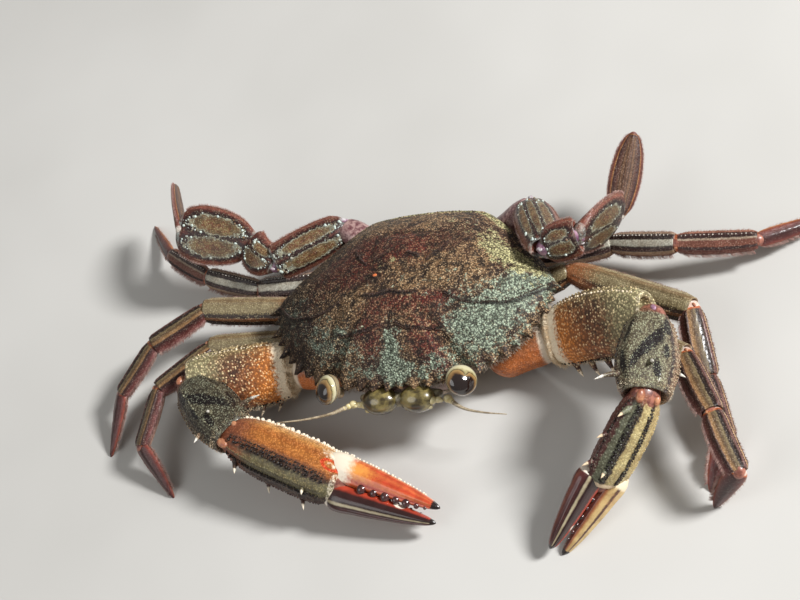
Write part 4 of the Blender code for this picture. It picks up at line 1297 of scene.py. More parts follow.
JOINT_SKIN = plain_material("joint_skin", (0.10, 0.028, 0.022), (0.34, 0.13, 0.085), 700.0, 0.4, 0.15)
KNOB = plain_material("hinge_knob", (0.22, 0.065, 0.035), (0.48, 0.22, 0.11), 900.0, 0.42, 0.1)
VIOLET = plain_material("joint_violet", (0.16, 0.055, 0.12), (0.46, 0.28, 0.36), 600.0, 0.35, 0.3)
JOINT_PALE = plain_material("joint_pale", (0.22, 0.11, 0.16), (0.56, 0.54, 0.54), 900.0, 0.35, 0.3)
HAIR_PINK = plain_material("pink_hair", (0.27, 0.14, 0.12), (0.50, 0.33, 0.28), scale=700.0, roughness=0.6)
LEG_STRIPES = striped_shell(
    "leg_stripes", (
        (0.0, (0.36, 0.17, 0.12)), (0.05, (0.42, 0.24, 0.14)), (0.125, (0.50, 0.33, 0.19)),
        (0.145, (0.05, 0.02, 0.018)), (0.21, (0.035, 0.018, 0.015)), (0.228, (0.54, 0.53, 0.44)),
        (0.295, (0.60, 0.58, 0.48)), (0.312, (0.03, 0.015, 0.013)), (0.41, (0.05, 0.022, 0.018)),
        (0.43, (0.46, 0.35, 0.25)), (0.47, (0.40, 0.26, 0.18)), (0.62, (0.58, 0.40, 0.28)),
        (0.85, (0.60, 0.40, 0.26)), (0.95, (0.42, 0.20, 0.14)),
    ),
)
LEG_RED = striped_shell(
    "leg_red", (
        (0.0, (0.38, 0.18, 0.14)), (0.06, (0.30, 0.10, 0.07)), (0.14, (0.25, 0.070, 0.05)),
        (0.155, (0.05, 0.02, 0.018)), (0.185, (0.05, 0.02, 0.018)), (0.20, (0.27, 0.10, 0.065)),
        (0.275, (0.24, 0.09, 0.06)), (0.285, (0.48, 0.36, 0.26)), (0.305, (0.48, 0.38, 0.28)),
        (0.32, (0.05, 0.02, 0.018)), (0.42, (0.07, 0.025, 0.02)), (0.45, (0.36, 0.15, 0.10)),
        (0.62, (0.58, 0.36, 0.26)), (0.85, (0.58, 0.34, 0.24)), (0.95, (0.44, 0.16, 0.12)),
    ),
    tone=0.76,
)
LEG_BROWN = striped_shell(
    "leg_brown", (
        (0.0, (0.33, 0.16, 0.15)), (0.05, (0.16, 0.045, 0.04)), (0.14, (0.05, 0.018, 0.016)),
        (0.17, (0.05, 0.022, 0.016)), (0.185, (0.36, 0.20, 0.09)), (0.21, (0.30, 0.18, 0.08)),
        (0.24, (0.11, 0.065, 0.035)), (0.28, (0.22, 0.17, 0.085)), (0.295, (0.025, 0.013, 0.01)),
        (0.335, (0.025, 0.013, 0.01)), (0.355, (0.15, 0.065, 0.055)), (0.43, (0.13, 0.055, 0.05)),
        (0.45, (0.52, 0.34, 0.18)), (0.462, (0.50, 0.32, 0.17)), (0.478, (0.06, 0.025, 0.02)),
        (0.52, (0.26, 0.13, 0.09)), (0.65, (0.56, 0.42, 0.28)), (0.88, (0.52, 0.34, 0.24)),
        (0.96, (0.36, 0.15, 0.12)),
    ),
    tone=0.98,
)
LEG_MERUS = striped_shell(
    "leg_merus", (
        (0.0, (0.30, 0.13, 0.10)), (0.02, (0.035, 0.018, 0.012)), (0.10, (0.045, 0.022, 0.014)),
        (0.115, (0.40, 0.17, 0.07)), (0.155, (0.36, 0.17, 0.08)), (0.165, (0.03, 0.015, 0.01)),
        (0.20, (0.035, 0.018, 0.012)), (0.22, (0.28, 0.22, 0.11)), (0.30, (0.38, 0.32, 0.18)),
        (0.40, (0.26, 0.16, 0.07)), (0.45, (0.40, 0.33, 0.19)), (0.48, (0.46, 0.38, 0.24)),
        (0.52, (0.34, 0.22, 0.13)), (0.65, (0.56, 0.42, 0.28)), (0.9, (0.50, 0.32, 0.22)),
    ),
    waver=0.05, specks=0.5, speck_colour=(0.52, 0.44, 0.26), warm=(0.36, 0.125, 0.045),
)
LEG_TOE = striped_shell(
    "leg_toe", (
        (0.0, (0.40, 0.13, 0.08)), (0.06, (0.24, 0.05, 0.035)), (0.14, (0.10, 0.022, 0.02)),
        (0.24, (0.05, 0.014, 0.013)), (0.34, (0.14, 0.035, 0.03)), (0.43, (0.24, 0.06, 0.035)),
        (0.47, (0.50, 0.20, 0.07)), (0.52, (0.36, 0.12, 0.06)), (0.7, (0.40, 0.22, 0.14)),
        (0.92, (0.42, 0.18, 0.12)),
    ),
    gaps=0.0, specks=0.12, coat=0.35,
)
LEG_KEELS = (
    (0.0, 0.25, 0.03), (0.155, 0.28, 0.02), (0.36, 0.3, 0.022), (0.5, 0.3, 0.03), (0.66, 0.2, 0.03),
    (0.84, 0.2, 0.03),
)
TOE_KEELS = ((0.0, 0.12, 0.03), (0.25, 0.2, 0.05), (0.5, 0.12, 0.03), (0.75, 0.2, 0.05))
HIP_KEELS = ((0.0, 0.2, 0.04), (0.5, 0.2, 0.04))
LEG_SHAPES = {  # profile, half sizes and keels
    "ischium": (ISCHIUM, (2.8, 2.4), HIP_KEELS),
    "merus": (MERUS, (3.1, 2.1), LEG_KEELS),
    "carpus": (CARPUS, (2.8, 2.0), LEG_KEELS),
    "propodus": (PROPODUS, (2.5, 1.5), LEG_KEELS),
    "dactylus": (TOE, (2.2, 1.1), TOE_KEELS),
}
LEG_4_SLIMNESS = (1.0, 0.95, 0.88, 0.92, 0.78)
SEGMENTS = ("ischium", "merus", "carpus", "propodus", "dactylus")


def warm_base(reach):
    """Marks of a segment that is orange near its body end, pale just at that end and at its far rim."""
    def paint(along, turn):
        pale = np.maximum(0.6 - 0.6 * ease(along, -0.02, 0.03), 0.42 * ease(along, 0.965, 0.985))
        return mark_fields(along, pale=pale, warm=0.8 - 0.8 * ease(along, 0.0, reach))
    return paint


def leg_look(part, striped):
    """The last pair of walking legs is striped in cream, and the others are plainer and browner."""
    if part in ("ischium", "dactylus"):
        return LEG_MERUS if part == "ischium" else LEG_TOE
    if striped:
        return LEG_RED if part == "propodus" else LEG_STRIPES
    return LEG_MERUS if part == "merus" else LEG_BROWN


for name in [name for name in LIMBS if name.startswith("leg")]:
    joints = np.array(LIMBS[name])
    left = name.endswith("left")
    striped = "leg_4" in name
    rng = np.random.default_rng(len(name) * 100 + int(name[4]) * 10 + left)
    segments = []
    for i, part in enumerate(SEGMENTS):
        profile, size, keels = LEG_SHAPES[part]
        segments.append(Segment(
            joints[i], joints[i + 1], UP_LEFT if left else UP_RIGHT, 1 if left else -1,
            np.array(size) * (LEG_4_SLIMNESS[i] if striped else 1), profile, keels, bow=0.25,
        ))
    fringes = []
    for i, part in enumerate(SEGMENTS):
        segment = segments[i]
        reach = {"ischium": 0.9, "merus": 0.15 if striped else 0.45}.get(part, 0.04)
        parts = [skin_part(
            segment, 0.4, 84, warm_base(reach), grains=0.07, spacing=0.7, floor_cut=part == "dactylus",
        )]
        if part in ("merus", "carpus", "propodus"):
            for turn, first, last, spacing, radius, mark in (
                (0.37 if striped else 0.31, 0.08, 0.92, 0.9, 0.17, (0, 0.8 if striped else 0.3, 0)),
                (0.155, 0.08, 0.92, 0.62, 0.12, (0, 0.4 if striped else 0, 0)),
                (0.49, 0.06, 0.93, 0.6, 0.13, (0, 0.3, 0)),
                (0.22 if part == "merus" and not striped else 0.42, 0.06, 0.93, 0.6, 0.15, (0.9, 0, 0)),
            ):
                parts.append(bead_row(segment, turn, first, last, spacing, radius, mark, rng))
        if i < 4:
            radius = 0.66 * min(LEG_SHAPES[SEGMENTS[i + 1]][1][0], segment.size[0])
            parts += joint_parts(joints[i + 1], segment, segments[i + 1], radius)
        materials = [leg_look(part, striped), JOINT_SKIN, KNOB]
        make_piece(f"{name}_{part}_shell", parts, materials, [f"{name}_{part}"])
        if i > 0:
            amount = int(segment.length * (22 if i > 1 else 10))
            last, length = 0.95 if i < 4 else 0.85, 0.95 if i > 1 else 0.6
            fringes.append(fringe_of(segment, i, 0.0, 0.02, last, amount, length, 0.7, rng))
            fringes.append(fringe_of(segment, i, 0.5, 0.1, 0.9, amount // 4, 0.5, 0.9, rng))
    make_piece(f"{name}_hairs", fringes, [HAIR_PINK], uv_name="OFBake")


# Claws. Two strong limbs with beads in rows, hooked spines, toothed fingers, orange arms and olive
# wrists. The left hand is olive and yellow. The right one is olive and orange with a white beaded edge,
# and its fixed finger is red.
SPINE_RADIUS = 1.15


def spike(root, tip, radius, hook, around_place):
    """A curved cone. Its radius falls by the power 1.4 of the way to the tip and is a quarter slimmer
    halfway, and its middle is carried along the hook vector."""
    root, tip, hook = (np.array(v, float) for v in (root, tip, hook))
    along, across, out = axes(root, tip, np.array((0.31, -0.22, 0.92)))

    def surface(row, turn):
        size = radius * (1 - row ** 1.4) * (1 - 0.25 * np.sin(row * math.pi)) + 0.03
        middle = root + (tip - root) * row[..., None] + hook * (4 * row * (1 - row))[..., None]
        return middle + ring_way(turn, across, out) * size[..., None]

    points, quads, triangles, place = closed_grid(surface, np.linspace(0, 1, 10), np.arange(12) / 12)
    grown = ease(place[:, 0], 0.5, 0.85)[:, None]
    marks = grown * np.array((0.0, 0.0, 0.9, 0.0))
    return points, quads, triangles, marks, np.tile(around(*around_place), (len(points), 1)), 0


def spikes_of(segment, table):
    """Spines of a segment from (place, turn, length), leaning to its far end as hooks."""
    parts = []
    breadth, thickness = segment.size
    for place, turn, length in table:
        section = ring_way(turn, segment.across * breadth, segment.out * thickness)
        way = section / np.linalg.norm(section)
        middle = segment.start + segment.along * segment.length * place
        root = middle + section * 0.72 - segment.along * 0.3
        tip = middle + section * 0.96 + way * length + segment.along * length * 0.5
        parts.append(spike(root, tip, SPINE_RADIUS, -segment.along * length * 0.14, (turn, place)))
    return parts


FINGER = (
    (-0.08, 0.05, 0.05), (-0.06, 0.7, 0.7), (0.0, 1.0, 1.0), (0.25, 1.0, 1.0), (0.55, 0.8, 0.85),
    (0.82, 0.52, 0.6), (0.95, 0.28, 0.35), (0.99, 0.14, 0.18), (1.005, 0.03, 0.04),
)
PALM = (
    (-0.1, 0.05, 0.05), (-0.08, 0.45, 0.5), (0.0, 0.68, 0.72), (0.2, 0.91, 0.93), (0.55, 1.0, 1.0),
    (0.88, 0.96, 0.88), (0.97, 0.88, 0.76), (1.02, 0.76, 0.66), (1.03, 0.6, 0.5), (1.01, 0.4, 0.35),
    (0.98, 0.05, 0.05),
)
CLAW_CARPUS = (
    (-0.12, 0.05, 0.05), (-0.1, 0.4, 0.5), (-0.03, 0.58, 0.72), (0.1, 0.74, 0.88), (0.35, 0.92, 1.0),
    (0.6, 1.0, 0.98), (0.8, 0.93, 0.92), (0.93, 0.83, 0.84), (1.0, 0.74, 0.76), (0.99, 0.66, 0.68),
    (0.94, 0.5, 0.5), (0.9, 0.05, 0.05),
)
CLAW_ARM = striped_shell(
    "claw_arm", (
        (0.0, (0.08, 0.035, 0.02)), (0.05, (0.18, 0.060, 0.028)), (0.10, (0.36, 0.125, 0.042)),
        (0.22, (0.27, 0.105, 0.042)), (0.34, (0.19, 0.090, 0.045)), (0.42, (0.28, 0.21, 0.10)),
        (0.5, (0.38, 0.30, 0.15)), (0.62, (0.50, 0.34, 0.20)), (0.85, (0.54, 0.36, 0.22)),
        (0.95, (0.20, 0.09, 0.06)),
    ),
    waver=0.18, specks=0.95, speck_colour=(0.90, 0.70, 0.40), size=1700.0, depth=0.9,
    warm=(0.80, 0.27, 0.045), gaps=0.7, tone=1.3, tint=(0.38, 0.34, 0.18), pale=(0.88, 0.74, 0.54),
    fray=1.2, mottle=0.7,
)
CLAW_HIP = striped_shell(
    "claw_hip", (
        (0.0, (0.80, 0.24, 0.055)), (0.20, (0.72, 0.21, 0.05)), (0.32, (0.40, 0.17, 0.07)),
        (0.5, (0.26, 0.16, 0.09)), (0.75, (0.52, 0.32, 0.20)), (0.95, (0.60, 0.24, 0.11)),
    ),
    waver=0.14, specks=0.25, speck_colour=(0.70, 0.52, 0.34), gaps=0.3, coat=0.3, pale=(0.74, 0.62, 0.48),
)
CLAW_WRIST = striped_shell(
    "claw_wrist", (
        (0.0, (0.16, 0.10, 0.07)), (0.06, (0.20, 0.175, 0.11)), (0.16, (0.21, 0.205, 0.130)),
        (0.30, (0.235, 0.23, 0.150)), (0.355, (0.22, 0.19, 0.12)), (0.365, (0.06, 0.04, 0.035)),
        (0.385, (0.07, 0.045, 0.04)), (0.395, (0.28, 0.20, 0.13)), (0.45, (0.40, 0.28, 0.18)),
        (0.48, (0.36, 0.22, 0.15)), (0.62, (0.50, 0.36, 0.22)), (0.85, (0.50, 0.36, 0.24)),
        (0.95, (0.24, 0.14, 0.10)),
    ),
    waver=0.08, specks=0.5, speck_colour=(0.56, 0.60, 0.42), size=2500.0, depth=1.0,
    # The tint is painted shade, which lies in patches, mostly on the right wrist
    warm=(0.30, 0.12, 0.07), gaps=0.9, tone=1.4, mottle=0.45, tint=(0.05, 0.042, 0.026),
)
PALM_LEFT = striped_shell(
    "palm_left", (
        (0.0, (0.10, 0.035, 0.03)), (0.055, (0.09, 0.03, 0.025)), (0.07, (0.17, 0.175, 0.11)),
        (0.14, (0.21, 0.22, 0.145)), (0.172, (0.05, 0.035, 0.025)), (0.190, (0.08, 0.05, 0.03)),
        (0.205, (0.66, 0.54, 0.25)), (0.262, (0.72, 0.60, 0.29)), (0.27, (0.04, 0.02, 0.012)),
        (0.288, (0.05, 0.025, 0.014)), (0.298, (0.70, 0.56, 0.27)), (0.42, (0.74, 0.58, 0.28)),
        (0.52, (0.62, 0.44, 0.24)), (0.78, (0.56, 0.38, 0.24)), (0.88, (0.16, 0.05, 0.04)),
    ),
    waver=0.085, specks=0.3, speck_colour=(0.52, 0.55, 0.40), size=2100.0, pale=(0.78, 0.60, 0.40),
    tone=0.95, warm=(0.26, 0.10, 0.06),
)
PALM_RIGHT = striped_shell(
    "palm_right", (
        (0.0, (0.12, 0.045, 0.035)), (0.05, (0.06, 0.03, 0.022)), (0.11, (0.06, 0.035, 0.022)),
        (0.125, (0.16, 0.145, 0.075)), (0.215, (0.18, 0.155, 0.075)), (0.225, (0.06, 0.03, 0.018)),
        (0.250, (0.12, 0.045, 0.018)), (0.268, (0.40, 0.13, 0.030)), (0.33, (0.60, 0.22, 0.045)),
        (0.37, (0.52, 0.17, 0.035)), (0.43, (0.70, 0.34, 0.10)), (0.50, (0.74, 0.46, 0.24)),
        (0.56, (0.62, 0.22, 0.09)), (0.75, (0.62, 0.34, 0.20)), (0.9, (0.34, 0.14, 0.09)),
    ),
    waver=0.07, specks=0.14, speck_colour=(0.76, 0.46, 0.18), size=2300.0, warm=(0.24, 0.075, 0.035),
    pale=(0.80, 0.70, 0.54), tone=0.97, gaps=0.5, depth=0.5, tint=(0.62, 0.06, 0.012), fray=0.9,
)
FINGER_DARK = striped_shell(
    "finger_dark", (
        (0.0, (0.26, 0.08, 0.05)), (0.07, (0.10, 0.022, 0.02)), (0.17, (0.04, 0.011, 0.010)),
        (0.185, (0.48, 0.42, 0.28)), (0.205, (0.46, 0.39, 0.25)), (0.22, (0.03, 0.010, 0.010)),
        (0.325, (0.045, 0.012, 0.011)), (0.36, (0.46, 0.050, 0.022)), (0.60, (0.58, 0.085, 0.035)),
        (0.66, (0.16, 0.03, 0.025)), (0.9, (0.16, 0.035, 0.03)),
    ),
    waver=0.018, gaps=0.0, specks=0.0, coat=0.8, roughness=0.25, depth=0.15, pale=(0.80, 0.70, 0.58),
)
FINGER_RED = striped_shell(
    "finger_red", (
        (0.0, (0.50, 0.06, 0.025)), (0.12, (0.64, 0.13, 0.04)), (0.17, (0.42, 0.035, 0.018)),
        (0.22, (0.68, 0.17, 0.05)), (0.28, (0.50, 0.05, 0.02)), (0.34, (0.66, 0.14, 0.045)),
        (0.39, (0.50, 0.06, 0.025)), (0.46, (0.66, 0.22, 0.10)), (0.52, (0.78, 0.50, 0.34)),
        (0.60, (0.60, 0.14, 0.06)), (0.8, (0.60, 0.24, 0.12)),
    ),
    waver=0.05, gaps=0.0, specks=0.0, coat=0.8, roughness=0.25, depth=0.15, warm=(0.74, 0.30, 0.06),
    pale=(0.76, 0.67, 0.53), tone=1.0,
)
FINGER_YELLOW = striped_shell(
    "finger_yellow", (
        (0.0, (0.20, 0.06, 0.04)), (0.10, (0.10, 0.03, 0.025)), (0.15, (0.34, 0.12, 0.05)),
        (0.19, (0.62, 0.42, 0.18)), (0.24, (0.66, 0.48, 0.22)), (0.255, (0.08, 0.025, 0.018)),
        (0.28, (0.08, 0.025, 0.018)), (0.295, (0.68, 0.48, 0.22)), (0.40, (0.72, 0.54, 0.26)),
        (0.48, (0.66, 0.44, 0.20)), (0.6, (0.56, 0.36, 0.20)), (0.85, (0.46, 0.26, 0.16)),
    ),
    waver=0.03, gaps=0.0, specks=0.1, coat=0.6, roughness=0.3, depth=0.2, warm=(0.60, 0.26, 0.08),
    pale=(0.80, 0.68, 0.48),
)
HAIR_CREAM = plain_material("cream_hair", (0.74, 0.54, 0.32), (0.92, 0.80, 0.60), scale=700.0, roughness=0.6)
TOOTH = glassy_material("claw_tooth", (0.020, 0.006, 0.006), (0.075, 0.018, 0.016), 900.0)
CLAW_SIZES = ((4.6, 3.4), (7.2, 3.4), (6.4, 4.6))
PALM_SIZES = {"left": (4.6, 3.8), "right": (6.2, 4.2)}
THUMB_SIZES = {"left": (2.45, 2.0), "right": (3.1, 2.2)}
FINGER_SIZE = (2.9, 2.1)
FINGER_SPREAD = 3.2  # from the hand's middle line to the middle of a finger's root
TIP_SPREAD = 1.7
CLAW_JOINTS = (3.2, 3.7, 3.3, 2.9)
CLAW_KEELS = (
    ((0.0, 0.3, 0.05), (0.5, 0.3, 0.05)),
    ((0.0, 0.5, 0.03), (0.16, 0.3, 0.05), (0.40, 0.35, 0.04), (0.5, 0.35, 0.03), (0.75, 0.3, 0.06)),
    ((0.0, 0.4, 0.04), (0.13, 0.35, 0.03), (0.30, 0.4, 0.03), (0.44, 0.4, 0.03), (0.75, 0.2, 0.06)),
    (
        (0.03, 0.45, 0.025), (0.165, 0.4, 0.018), (0.28, 0.3, 0.014), (0.40, 0.3, 0.02),
        (0.5, 0.35, 0.03), (0.72, 0.3, 0.05),
    ),
)
FINGER_KEELS = ((0.12, 0.14, 0.025), (0.25, 0.16, 0.03), (0.38, 0.14, 0.025), (0.75, 0.16, 0.05))
CLAW_SPINES = {
    "merus": ((0.2, 0.0, 2.4), (0.36, 0.0, 2.8), (0.52, 0.0, 3.0), (0.67, 0.0, 2.8)),
    "carpus": ((0.8, 0.03, 5.0), (0.7, 0.25, 2.4), (0.72, 0.417, 2.4)),
    "propodus": ((0.14, 0.07, 2.2), (0.45, 0.014, 2.6), (0.78, 0.014, 2.8), (0.8, 0.14, 2.0)),
}
# Rows of beads: turn and the dark, pale and warm marks, and on the hands also the beads' radius
ARM_BEADS = ((0.03, (0.9, 0, 0)), (-0.03, (0.2, 0.5, 0)), (0.44, (0, 0.6, 0)), (0.5, (0, 0.4, 0)))
WRIST_BEADS = (
    (0.02, (0.8, 0, 0)), (0.13, (0, 0.4, 0)), (0.30, (0, 0.4, 0)), (0.44, (0.1, 0.3, 0)),
    (0.5, (0, 0.2, 0.6)),
)
LEFT_PALM_BEADS = (
    (0.155, (1, 0, 0), 0.46), (0.135, (1, 0, 0), 0.30), (0.180, (1, 0, 0), 0.30),
    (0.268, (1, 0, 0), 0.32), (0.290, (1, 0, 0), 0.26), (0.02, (0.6, 0, 0), 0.28),
    (0.40, (0, 0.3, 0), 0.22), (0.5, (0, 0.6, 0), 0.26),
)
RIGHT_PALM_BEADS = (
    (0.505, (0, 1, 0), 0.58), (0.525, (0, 0.9, 0), 0.40), (0.488, (0, 0.7, 0), 0.24),
    (0.230, (1, 0, 0), 0.48), (0.248, (1, 0, 0), 0.36), (0.262, (0.9, 0, 0), 0.22),
    (0.17, (0.2, 0.1, 0), 0.26), (0.105, (0.9, 0, 0), 0.42), (0.120, (0.8, 0, 0), 0.26),
    (0.02, (0.4, 0, 0), 0.30),
)
# Teeth: place along the finger and size
THUMB_TEETH = (
    (0.33, 1.2), (0.44, 0.95), (0.545, 1.15), (0.64, 0.95), (0.73, 1.05), (0.82, 0.7), (0.89, 0.45),
)
FINGER_TEETH = (
    (0.22, 0.6), (0.34, 0.8), (0.44, 0.55), (0.53, 0.7), (0.62, 0.5), (0.75, 0.45), (0.85, 0.35),
)
FACING_LEFT_HAND = (0.80, -0.30, 0.50)


def hip_paint(along, turn):
    """A cream rim at the far end, widest on the fore edge."""
    return mark_fields(along, pale=0.9 * ease(along, 0.72 + 0.1 * np.cos((turn - 0.5) * 2 * math.pi), 0.95))


def arm_paint(along, turn):
    """Orange towards the body with a pale rim, olive at the far end, blotched dark along the fore edge."""
    pale = np.maximum(1.0 - ease(along, 0.06, 0.31), 0.42 * ease(along, 0.965, 0.985))
    dark = 0.75 * bell(np.mod(turn + 0.5, 1) - 0.5, 0.02, 0.03) * ease(along, 0.15, 0.3)
    warm = (1 - ease(along, 0.05, 0.72)) * (0.62 + 0.38 * np.cos((turn - 0.12) * 2 * math.pi))
    return mark_fields(along, band=0.9 * ease(along, 0.45, 0.95), dark=dark, pale=pale, warm=warm)


def wrist_paint(along, turn):
    """A dark slanting stripe and a few dark patches on the upper face, and a warm rim at the body end."""
    spots = sum(mound(turn * 2, along, *spot) for spot in (
        (0.475, 0.46, 0.50, 0.078, 122.0), (0.645, 0.53, 0.050, 0.12, 0.0),
        (0.556, 0.77, 0.050, 0.15, -10.0), (0.20, 0.26, 0.060, 0.20, 15.0),
        (0.17, 0.67, 0.060, 0.15, 0.0), (0.70, 0.20, 0.05, 0.10, 0.0),
    ))
    return mark_fields(
        along, dark=np.clip(spots, 0, 1) * 0.95, pale=0.42 * ease(along, 0.94, 0.97),
        warm=0.8 - 0.8 * ease(along, -0.05, 0.06),
    )


def shaded_wrist_paint(along, turn):
    """The same under patches of painted shade, laid by the wrist's tint."""
    marks = wrist_paint(along, turn)
    # A raised band field lays the tint's painted shade in patches
    marks[:, 0] = 0.58
    return marks


def left_palm_paint(along, turn):
    """A pale knuckle round the finger hinge."""
    pale = 0.75 * ease(along, 0.93, 0.98) * (0.6 + 0.4 * np.cos((turn - 0.25) * 2 * math.pi))
    return mark_fields(along, pale=pale, warm=1 - ease(along, -0.05, 0.08))


def right_palm_paint(along, turn):
    """White drifts into the orange towards the fingers, a red ring round the hinge, brown at the wrist."""
    ring = bell(np.hypot((turn - 0.335) * 2.2, along - 0.95), 0.07, 0.020)
    drift = ease(along, 0.62, 1.0) * bell(turn, 0.42, 0.12) * 0.72
    rim = bell(turn, 0.38, 0.12) * ease(along, 0.93, 0.98) * 0.8
    pale = np.maximum(np.maximum(drift, rim), 0.55 * ease(along, 0.985, 1.0)) * (1 - ring)
    return mark_fields(along, band=ring, pale=pale, warm=(1 - ease(along, 0.0, 0.42)) * 0.9)


def finger_paint(along, turn):
    """A white patch on the biting side past the middle, dark at the tip, pale at the hinge."""
    patch = np.exp(-(((along - 0.66) / 0.07) ** 2 + ((turn - 0.43) / 0.09) ** 2) ** 2)
    pale = np.maximum(patch, 1 - ease(along, -0.04, 0.03))
    return mark_fields(along, dark=ease(along, 0.93, 0.98), pale=pale)


def thumb_paint(reach, warmth):
    """Marks of a fixed finger: pale from its root up to the reach, warm in stripes, dark at the tip."""
    def paint(along, turn):
        pale = 0.95 - 0.95 * ease(along, 0.0, reach)
        warm = bell(along, 0.22, 0.20) * (0.6 + 0.4 * np.cos((turn - 0.3) * 6 * math.pi))
        return mark_fields(along, dark=ease(along, 0.9, 0.97), pale=pale, warm=warm * warmth)
    return paint


def claw_beads(segment, part, left, rng):
    """The rows of beads of one segment. A hand's beads are spaced by their size, and the rows on the
    right hand's rear edge run on to its end."""
    if part == "merus":
        return [bead_row(segment, turn, 0.08, 0.93, 0.95, 0.30, mark, rng) for turn, mark in ARM_BEADS]
    if part == "carpus":
        return [bead_row(segment, turn, 0.08, 0.92, 0.85, 0.28, mark, rng) for turn, mark in WRIST_BEADS]
    rows = []
    if part == "propodus":
        first = 0.06 if left else 0.05
        for turn, mark, radius in LEFT_PALM_BEADS if left else RIGHT_PALM_BEADS:
            last = 0.93 if left or turn < 0.3 else 1.0
            rows.append(bead_row(segment, turn, first, last, radius * 2.2, radius, mark, rng))
    return rows


def thumb_parts(thumb, left, number, rng):
    """The fixed finger with its teeth, which are half as large on the left, and on the right one a row
    of white beads."""
    paint = thumb_paint(0.18, 0.3) if left else thumb_paint(0.45, 0.9)
    parts = [skin_part(thumb, 0.25, 96, paint, number=number)]
    if not left:
        row = bead_row(thumb, 0.5, 0.0, 0.85, 0.8, 0.34, (0, 1, 0), rng)
        parts.append((*row[:5], number))
    turn, lift, scale = (0.03, 0.0, 0.5) if left else (0.085, 0.15, 1.0)
    for place, size in THUMB_TEETH:
        size *= scale
        centre = thumb.at(place, turn) + thumb.out * lift * size
        parts.append(lump(centre, thumb.directions, np.array((0.95, 1.0, 0.9)) * size, number=number + 1))
    return parts


for side in ("left", "right"):
    name = f"claw_{side}"
    joints = np.array(LIMBS[name])
    left = side == "left"
    rng = np.random.default_rng(41 + left)
    hand = FACING_LEFT_HAND if left else UP_LEFT
    facings = (UP_LEFT, UP_LEFT, UP_LEFT, hand)
    signs = (1, 1, 1, 1) if left else (-1, -1, -1, 1)
    sizes = (*CLAW_SIZES, PALM_SIZES[side])
    profiles = (ISCHIUM, MERUS, CLAW_CARPUS, PALM)
    bows = (0.0, -1.3 if left else 0.0, 0.0, 0.0)
    segments = [
        Segment(
            joints[i], joints[i + 1], facings[i], signs[i], sizes[i], profiles[i], CLAW_KEELS[i],
            bow=bows[i],
        )
        for i in range(4)
    ]
    _, across, _ = axes(joints[4], joints[5], np.array(hand))
    root, tip = across * FINGER_SPREAD, across * TIP_SPREAD
    finger = Segment(joints[4] + root, joints[5] + tip, hand, 1, FINGER_SIZE, FINGER, FINGER_KEELS, bow=0.1)
    thumb = Segment(
        joints[4] - root - segments[3].along * 2.0, joints[5] - tip, hand, 1, THUMB_SIZES[side], FINGER,
        FINGER_KEELS, bow=-0.1,
    )
    segments.append(finger)
    wrist, palm = (wrist_paint, left_palm_paint) if left else (shaded_wrist_paint, right_palm_paint)
    paints = (hip_paint, arm_paint, wrist, palm)
    looks = (CLAW_HIP, CLAW_ARM, CLAW_WRIST, PALM_LEFT if left else PALM_RIGHT)
    for i, part in enumerate(SEGMENTS[:4]):
        segment = segments[i]
        materials = [looks[i], JOINT_SKIN, VIOLET if part == "merus" and left else KNOB]
        parts = [skin_part(segment, 0.3, 150, paints[i], grains=0.12, spacing=0.85)]
        parts += spikes_of(segment, CLAW_SPINES.get(part, ()))
        parts += joint_parts(joints[i + 1], segment, segments[i + 1], CLAW_JOINTS[i])
        parts += claw_beads(segment, part, left, rng)
        if part == "propodus":
            parts += thumb_parts(thumb, left, len(materials), rng)
            materials += [FINGER_YELLOW if left else FINGER_RED, TOOTH]
        make_piece(f"{name}_{part}_shell", parts, materials, [f"{name}_{part}"])
    parts = [skin_part(finger, 0.22, 110, finger_paint)]
    for place, size in FINGER_TEETH:
        centre = finger.at(place, 0.5) + finger.across * 0.3 * size
        parts.append(lump(centre, finger.directions, np.array((1.0, 0.8, 0.7)) * size, number=2))
    parts.append(lump(finger.start + finger.out * 1.5, finger.directions, (1.1, 1.1, 0.7), number=1))
    make_piece(f"{name}_finger", parts, [FINGER_DARK, KNOB, TOOTH], [f"{name}_dactylus"])
    rim = fringe_of(segments[1], 1, 0.22, 0.0, 0.09, 1100, 1.3, -0.2, rng, sag=0.2, width=0.10, wander=0.16)
    cuff = fringe_of(segments[2], 2, 0.25, 0.90, 0.96, 300, 0.7, 0.8, rng, width=0.08, wander=0.2)
    edge = fringe_of(segments[1], 3, 0.02, 0.05, 0.9, 260, 0.7, 0.5, rng)
    make_piece(f"{name}_hairs", [rim, cuff, edge], [HAIR_CREAM], uv_name="OFBake")


